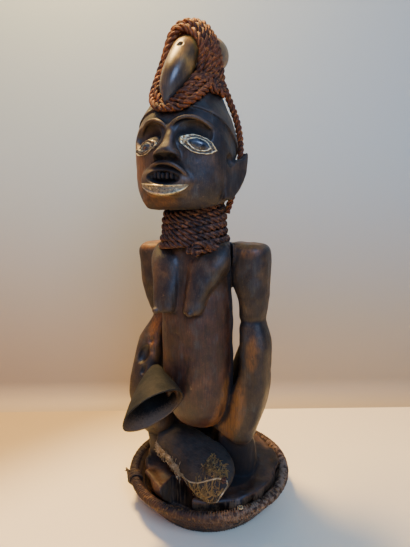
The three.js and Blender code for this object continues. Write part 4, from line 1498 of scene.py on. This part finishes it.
# %% Cup finish
def dry_shell_material(name):
    material, tree, shader, where, inside_wall, lip_light_mask = new_material(name, "inside", "painted_lip_light")
    clouds, specks = noise(tree, where, 24, 5, 0.6), noise(tree, where, 2.2, 3, 0.65)
    outside, painted_shade_inside = (
        add(tree, "ShaderNodeValToRGB", {"Fac": clouds}, stops=stops).outputs[0]
        for stops in (((0.35, "#0c0e0e"), (0.5, "#171a19"), (0.68, "#2a2721")),
                      ((0.35, "#030403"), (0.55, "#090c0c"), (0.7, "#171c1a"))))
    # Painted shade: the inside wall is painted nearly black.
    colour = painted(tree, outside, painted_shade_inside, inside_wall)
    # Painted light: the pale band on the lip, with ragged edges.
    ragged = add(tree, "ShaderNodeMath", {
        0: lip_light_mask, 1: product(tree, (specks, 0.3, 0.7, -0.15, 0.15)),
    }, operation="ADD").outputs[0]
    colour = painted(tree, colour, "#665441", (ragged, 0.05, 0.95), 0.85)
    colour = painted(tree, colour, "#6b5e4a", (specks, 0.6, 0.75, 0, 0.25))
    colour = painted(tree, colour, "#140f0a", (specks, 0.42, 0.3, 0, 0.5))
    shader.inputs["Specular IOR Level"].default_value = 0.25
    finish_with(tree, shader, colour, 0.72, (clouds, 1.6, 0.6), (specks, 0.5, 0.5))
    return material


cup.data.materials.append(dry_shell_material("dry_gourd_shell"))
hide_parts("cup")
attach(cup, "root")
print("dry finish on", cup.name)

# %% [markdown]
# ## The hide packet
# A bundle wrapped in dusty hide leans on the shins, with its front corner on the base. It is rings
# drawn out along a line, in rows of [x, y, height, share of the width, share of the depth], because
# cords can then be placed on it by a distance along and an angle round. The hide sags unevenly.
# Its front edge droops past the middle and is drawn in before it.

# %% Packet
packet_rows = [
    [-66, -44, 42, 0.25, 0.3], [-58, -44, 41, 0.7, 0.78], [-34, -44, 37, 0.92, 0.97],
    [0, -53, 31.5, 0.97, 0.98], [30, -62, 27, 0.93, 0.92], [50, -70, 23, 0.78, 0.72],
    [61, -74, 20.5, 0.48, 0.4], [65, -76, 19.5, 0.2, 0.2],
]
packet_line = smooth_line(packet_rows, 1.6)
packet_along = unit_vector(packet_line[-1, :3] - packet_line[0, :3])
packet_across = np.array([0.25, 0.86, 0.44])
packet_across = unit_vector(packet_across - (packet_across @ packet_along) * packet_along)
packet_up = np.cross(packet_along, packet_across)
packet_turns = np.linspace(0, 2 * math.pi, 110, endpoint=False)[:, None]
half_width, half_depth = 36, 19
packet_points = np.array([
    row[:3] + half_width * row[3] * np.cos(packet_turns) * packet_across
    + half_depth * row[4] * np.sin(packet_turns) * packet_up for row in packet_line
])
flat_points = packet_points.reshape(-1, 3)
sag = 1.4 * unevenness(flat_points, 17, 11) + 0.6 * unevenness(flat_points, 6, 12)
outward = packet_points - packet_line[:, None, :3]
outward /= np.linalg.norm(outward, axis=2, keepdims=True) + 1e-6
packet_points += outward * sag.reshape(packet_points.shape[:2])[..., None]
packet_x, facing_front = packet_line[:, 0], -np.cos(packet_turns[:, 0])
front_edge = np.clip(facing_front * 1.6 - 0.6, 0, 1)
past_middle = np.clip((packet_x - 4) / 26, 0, 1) * np.clip((66 - packet_x) / 8, 0, 1)
packet_points += (past_middle[:, None] * front_edge)[..., None] * np.array([2, -5, -8])
before_middle = np.clip((14 - packet_x) / 40, 0, 1)[:, None] * np.clip(facing_front, 0, 1)
packet_points += before_middle[..., None] * np.array([4, 9, 5])
packet = lofted("wrapped_hide_packet", list(packet_points))
print("packet rings", len(packet_points))


# %% [markdown]
# ### The hide's finish
# The hide is nearly black, with dust on what faces up, dark creases and a few pale hairs left in
# it. Dry hide is rough and scatters what light there is.

# %% Hide finish
def hide_material(name):
    material, tree, shader, where = new_material(name)
    facing = add(tree, "ShaderNodeNewGeometry").outputs["Normal"]
    upward = add(tree, "ShaderNodeSeparateXYZ", {0: facing}).outputs[2]
    clouds = noise(tree, where, 20, 5, 0.65)
    creases = noise(tree, where, 6, 4, 0.6, (0.5, 1, 1))
    # real hair is about 0.1 mm thick and is drawn much coarser, so that it shows
    hair = noise(tree, where, 0.9, 3, 0.6, (0.2, 1, 1))
    colour = add(tree, "ShaderNodeValToRGB", {"Fac": clouds},
                 stops=((0.34, "#0d0b08"), (0.5, "#1e1810"), (0.66, "#3a2e1d"))).outputs[0]
    colour = painted(tree, colour, "#312a20", (upward, 0.1, 0.9), (clouds, 0.3, 0.6, 0.25, 0.75))
    colour = painted(tree, colour, "#0f0b08", (creases, 0.44, 0.3, 0, 0.8))
    colour = painted(tree, colour, "#84714f", (hair, 0.62, 0.75, 0, 0.3))
    finish_with(tree, shader, colour, 0.78, (creases, 2.2, 0.8), (hair, 0.4, 0.6))
    return material


packet.data.materials.append(hide_material("dusty_hide"))
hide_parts("hide_packet")
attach(packet, "root")
print("hide finish on", packet.name)

# %% [markdown]
# ### A tree for thin cords
# Thin cords and fibres need no yarns: a small circle swept along each line will do. The distance
# along and around is stored as on the rope, so that the same finish works on both.

# %% A tree for thin cords
def thin_line_nodes():
    tree, given = new_growth("thin_cord", ("Cord radius", "Float", 0.0005), ("Sides", "Int", 5))
    place = add(tree, "GeometryNodeSplineParameter").outputs
    kept = add(tree, "GeometryNodeStoreNamedAttribute",
               {"Geometry": given["Geometry"], "Name": "along", "Value": place["Length"]})
    circle = add(tree, "GeometryNodeCurvePrimitiveCircle",
                 {"Resolution": given["Sides"], "Radius": given["Cord radius"]})
    marked = add(tree, "GeometryNodeStoreNamedAttribute",
                 {"Geometry": circle.outputs[0], "Name": "around", "Value": place["Factor"]})
    swept = add(tree, "GeometryNodeCurveToMesh",
                {"Curve": kept.outputs[0], "Profile Curve": marked.outputs[0], "Fill Caps": True})
    smooth = add(tree, "GeometryNodeSetShadeSmooth", {"Geometry": swept.outputs[0]})
    return hand_out(tree, smooth.outputs[0], given["Finish"])


thin_growth = thin_line_nodes()


def thin_lines(name, lines, radius, finish, node):
    """Cords or fibres along lines in carving millimetres, all as one piece."""
    piece = grow(line_object([to_metres(line) for line in lines]), thin_growth, name,
                 Cord_radius=radius * MM, Sides=5, Finish=finish)
    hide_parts(node)
    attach(piece, "root")
    return piece


# %% [markdown]
# ### Cords on the packet
# A cord closes the packet in front, and thinner ones net its end. Each line is placed by its
# distance along the packet and its angle round it, so it always lies on the hide.

# %% Cords on the packet
def on_packet(places, lift):
    """Places of (distance along, degrees round, extra lift) on the hide, lifted a little off it."""
    found = []
    for x, degrees, extra in places:
        row = np.interp(x, packet_line[:, 0], np.arange(len(packet_line)))
        column = (degrees % 360) / 360 * len(packet_turns)
        r, c = min(int(row), len(packet_line) - 2), int(column)
        i, j = row - r, column - c
        d = (c + 1) % len(packet_turns)
        for grid in (packet_points, outward):
            corner = ((1 - i) * ((1 - j) * grid[r, c] + j * grid[r, d])
                      + i * ((1 - j) * grid[r + 1, c] + j * grid[r + 1, d]))
            found.append(corner)
    found = np.array(found).reshape(-1, 2, 3)
    lifts = lift + np.array([extra for _, _, extra in places])
    return found[:, 0] + lifts[:, None] * found[:, 1]


def cord_on_packet(stops, lift):
    """A smooth cord through stops of (distance along, degrees round)."""
    mm_per_degree = 0.6
    dense = smooth_line([[x, degrees * mm_per_degree, 0] for x, degrees in stops], 1.2)
    return on_packet([(x, way_round / mm_per_degree, 0) for x, way_round, _ in dense], lift)


pale_fibre = fibre_material("frayed_pale_fibre", "#5b472a", "#a88c5c", "#e6d6ad", 0.5)
golden_fibre = fibre_material("golden_dry_fibre", "#3d2a0f", "#8c692e", "#c79f55", 0.5)
cord_stops = [
    [(2, 178), (15, 160), (27, 145), (40, 128), (52, 112), (61, 100)],
    [(5, 186), (18, 190), (30, 193), (42, 193), (52, 190), (60, 176), (64, 150), (65, 120), (62, 98)],
]
net_stops = [
    [(18, 158), (25, 172), (20, 188)], [(30, 143), (36, 158), (31, 172), (36, 190)],
    [(36, 158), (46, 160), (52, 148), (48, 120)], [(46, 160), (50, 174), (46, 190)],
    [(52, 148), (59, 150), (62, 130)], [(41, 128), (45, 142), (52, 148)], [(25, 172), (34, 176), (44, 176)],
]
thin_lines("seam_cords", [cord_on_packet(stops, 0.5) for stops in cord_stops], 1.15, pale_fibre,
           "hide_packet")
thin_lines("net_cords", [cord_on_packet(stops, 0.3) for stops in net_stops], 1.0, golden_fibre,
           "hide_packet")
print("cords", len(cord_stops), "and", len(net_stops))

# %% [markdown]
# ### Frayed fibres
# The edge of the hide has frayed into short pale fibres, thicker in a few clumps, and dry golden
# fibres lie on the packet's end. They are scattered with a fixed seed, so they never change. The
# frayed end of the neck rope is made of the same kind of loose fibres.

# %% Frayed fibres
chance = np.random.default_rng(31)


def hairs(count, x_range, degree_range, length, drift, lift):
    """Short curved fibres that start on the hide and drift along it and off it."""
    lines = []
    for _ in range(count):
        x, degrees = chance.uniform(*x_range), chance.uniform(*degree_range)
        reach = length * chance.uniform(0.5, 1.2)
        turn_x, turn_angle = chance.normal(drift[0], 0.35), chance.normal(drift[1], 0.5)
        bend_x, bend_angle = chance.normal(0, 0.3 * reach), chance.normal(0, 1.4 * reach)
        stops = [(x + turn_x * reach * t + bend_x * t * t,
                  degrees + turn_angle * 2.2 * reach * t + bend_angle * t * t,
                  lift * reach * t ** 1.4) for t in (0, 0.35, 0.7, 1)]
        lines.append(on_packet(stops, 0.2) + np.outer([0, 0.3, 0.7, 1], chance.normal(0, 0.9, 3)))
    return lines


fringe = hairs(170, (-60, -2), (160, 184), 9, (-0.35, 0.5), 0.45)
fringe += hairs(60, (-50, 4), (172, 196), 12, (-0.2, 0.7), 0.35)
for clump in (-52, -40, -27, -14, -5):
    fringe += hairs(26, (clump - 2, clump + 2), (164, 182), 15, (0.1, 0.6), 0.5)
thin_lines("frayed_fringe", fringe, 0.34, pale_fibre, "hide_packet")
golden = hairs(300, (28, 59), (70, 116), 4.5, (0.3, 0.3), 0.15)
golden += hairs(120, (24, 60), (124, 188), 7, (0.2, 0.9), 0.3)
thin_lines("golden_fibres", golden, 0.42, golden_fibre, "hide_packet")
knot_turn = np.linspace(0, 7 * math.pi, 60)
knot_middle = on_packet([(60, 103, 2)], 0)[0]
knot_line = knot_middle + np.stack([
    2.4 * np.cos(knot_turn), 2.2 * np.sin(knot_turn) - 1, 2.6 * np.cos(0.37 * knot_turn)], axis=1)
thin_lines("packet_knot", [knot_line], 1.3, red_rope_fibre, "hide_packet")
frayed, rope_end = [], np.array([25, -89, 338])
for _ in range(70):
    start = rope_end + chance.normal(0, 1.8, 3)
    reach = np.cumsum(chance.normal(0, 0.9, (3, 3)) + [0, -0.4, -1.3], axis=0)
    frayed.append(np.vstack([start, start + reach]))
thin_lines("frayed_neck_rope_end", frayed, 0.4, red_rope_fibre, "neck_rope")
print("packet:", len(fringe), "frayed fibres")

# %% [markdown]
# ## The basket tray
# The tray is a coiled basket: a bundle of grass goes round and round, and a split strand sews
# each coil to the one below. The rim coil is thicker and its stitches stand wider.

# %% Tray coils
def ring_line(radius, height, count=240):
    """A level ring of points round the upright."""
    angles = np.linspace(0, 2 * math.pi, count, endpoint=False)
    return np.stack([radius * np.cos(angles), radius * np.sin(angles), np.full(count, height)], axis=1)


def stitch_nodes():
    tree, given = new_growth(
        "coil_stitches", ("Spacing", "Float", 0.005), ("Coil radius", "Float", 0.0065),
        ("Strand radius", "Float", 0.0014), ("Slant", "Float", 0.25), ("Seed", "Int", 3))
    loop = add(tree, "GeometryNodeCurvePrimitiveCircle",
               {"Resolution": 12, "Radius": given["Coil radius"]})
    strand = add(tree, "GeometryNodeCurvePrimitiveCircle",
                 {"Resolution": 5, "Radius": given["Strand radius"]})
    stitch = add(tree, "GeometryNodeCurveToMesh",
                 {"Curve": loop.outputs[0], "Profile Curve": strand.outputs[0]})
    soft = add(tree, "GeometryNodeSetShadeSmooth", {"Geometry": stitch.outputs[0]})
    places = add(tree, "GeometryNodeCurveToPoints",
                 {"Curve": given["Geometry"], "Length": given["Spacing"]}, mode="LENGTH")
    facing = add(tree, "FunctionNodeAlignRotationToVector",
                 {"Vector": places.outputs["Tangent"]}, axis="Z")
    lean = add(tree, "FunctionNodeRandomValue",
               {2: -0.16, 3: 0.16, "Seed": given["Seed"]}, data_type="FLOAT")
    slanted = add(tree, "ShaderNodeMath", {0: given["Slant"], 1: lean.outputs[1]}, operation="ADD")
    tilt = add(tree, "ShaderNodeCombineXYZ", {"X": slanted.outputs[0]})
    leaning = add(tree, "FunctionNodeRotateRotation",
                  {"Rotation": facing.outputs[0], "Rotate By": tilt.outputs[0]}, rotation_space="LOCAL")
    size = add(tree, "FunctionNodeRandomValue",
               {2: 0.96, 3: 1.05, "Seed": given["Seed"]}, data_type="FLOAT")
    put = add(tree, "GeometryNodeInstanceOnPoints", {
        "Points": places.outputs[0], "Instance": soft.outputs[0], "Rotation": leaning.outputs[0],
        "Scale": size.outputs[1]})
    return hand_out(tree, put.outputs[0], given["Finish"])


stitch_growth = stitch_nodes()
# The basket fibre is painted paler on one side as painted light and darker on the other as painted shade.
basket_fibre = fibre_material("sewn_basket_fibre", "#140a04", "#46290f", "#8a6230", 0.8, lit_side_colour="#866b50")
rim_radius, rim_height, lower_coils = 118, 46, 5
coils = [(rim_radius, rim_height, 6.3, 0.0037, 0.0013)]
for step in range(lower_coils):
    share = (step + 1) / lower_coils
    coils.append((116.5 - 29 * share ** 1.15, rim_height - 41.5 * share, 5.0, 0.0035, 0.001))
tray_pieces = []
for number, (radius, height, thick, spacing, strand) in enumerate(coils):
    line = ring_line(radius, height) * MM
    closed = line_object([np.vstack([line, line[:1]])])
    tray_pieces.append(grow(
        closed, stitch_growth, f"coil_{number}_stitches", Spacing=spacing, Coil_radius=thick * MM,
        Strand_radius=strand, Slant=0.25, Seed=3 + number, Finish=basket_fibre))
print("tray coils", len(tray_pieces))

# %% [markdown]
# ### The tray's wall, knot and bead
# Under the stitches lies the basket's own wall and floor, which follows the coils outside and the
# base of the figure inside. A strand is knotted round the rim, with its ends left loose.

# %% Tray wall and rim
tray_floor, room_round_base = 7, 7.5
wall_profile = [(0.01, 0.6), (84, 0.6), (87, 1)]
for radius, height, thick, *_ in coils[::-1]:
    for angle in np.linspace(-1.1, 0.9, 7):
        wall_profile.append((radius + thick * math.cos(angle), height + thick * math.sin(angle)))
wall_profile += [(118, 52), (112, 47)]
for out, rise in base_profile[3:0:-1]:
    wall_profile.append((base_foot + base_flare * out + room_round_base, 7.3 + base_height * rise))
wall_profile += [(base_foot + room_round_base, tray_floor), (0.01, tray_floor)]
tray_wall = lofted("coiled_tray_wall", [
    ring_line(radius, height - base_top, 180) for radius, height in wall_profile])
tray_wall.data.materials.append(basket_fibre)


def round_rim(angle, out, turn):
    """A place off the middle of the rim coil, at an angle round the tray and a turn round the coil."""
    reach = rim_radius + out * np.cos(turn)
    return np.stack([reach * np.cos(angle), reach * np.sin(angle),
                     rim_height - base_top + out * np.sin(turn)], axis=-1)


wrap = np.linspace(0, 11 * math.pi, 150)
wrapping = round_rim(-2.5 + 0.0035 * wrap, 8.6 + 0.8 * np.sin(2.6 * wrap), wrap)
stub = smooth_line([[-83, -86, -12], [-92, -83, -9], [-99, -80, -7], [-104, -74, -7]], 1.5)
ends = []
for _ in range(26):
    steps = [[0, 0, 0], chance.normal(0, 1.3, 3) + [-1.6, 0.3, 0.2],
             chance.normal(0, 1.1, 3) + [-1.2, 0.2, -0.4]]
    ends.append(stub[-1] + np.cumsum(np.vstack(steps), axis=0))
thin_lines("rim_knot", [wrapping, stub], 2.3, basket_fibre, "basket_tray")
thin_lines("rim_loose_ends", ends, 0.4, basket_fibre, "basket_tray")
bead_turn = np.linspace(0, 2 * math.pi, 25)
bead = round_rim(-0.79 + 0.027 * np.cos(bead_turn), 7.4 + 0 * bead_turn, 1.75 + 0.42 * np.sin(bead_turn))
thin_lines("rim_bead", [bead], 1.4, pale_fibre, "basket_tray")
for piece in [tray_wall, *tray_pieces]:
    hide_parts("basket_tray")
    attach(piece, "root")
print("knot, loose ends and bead on the rim")
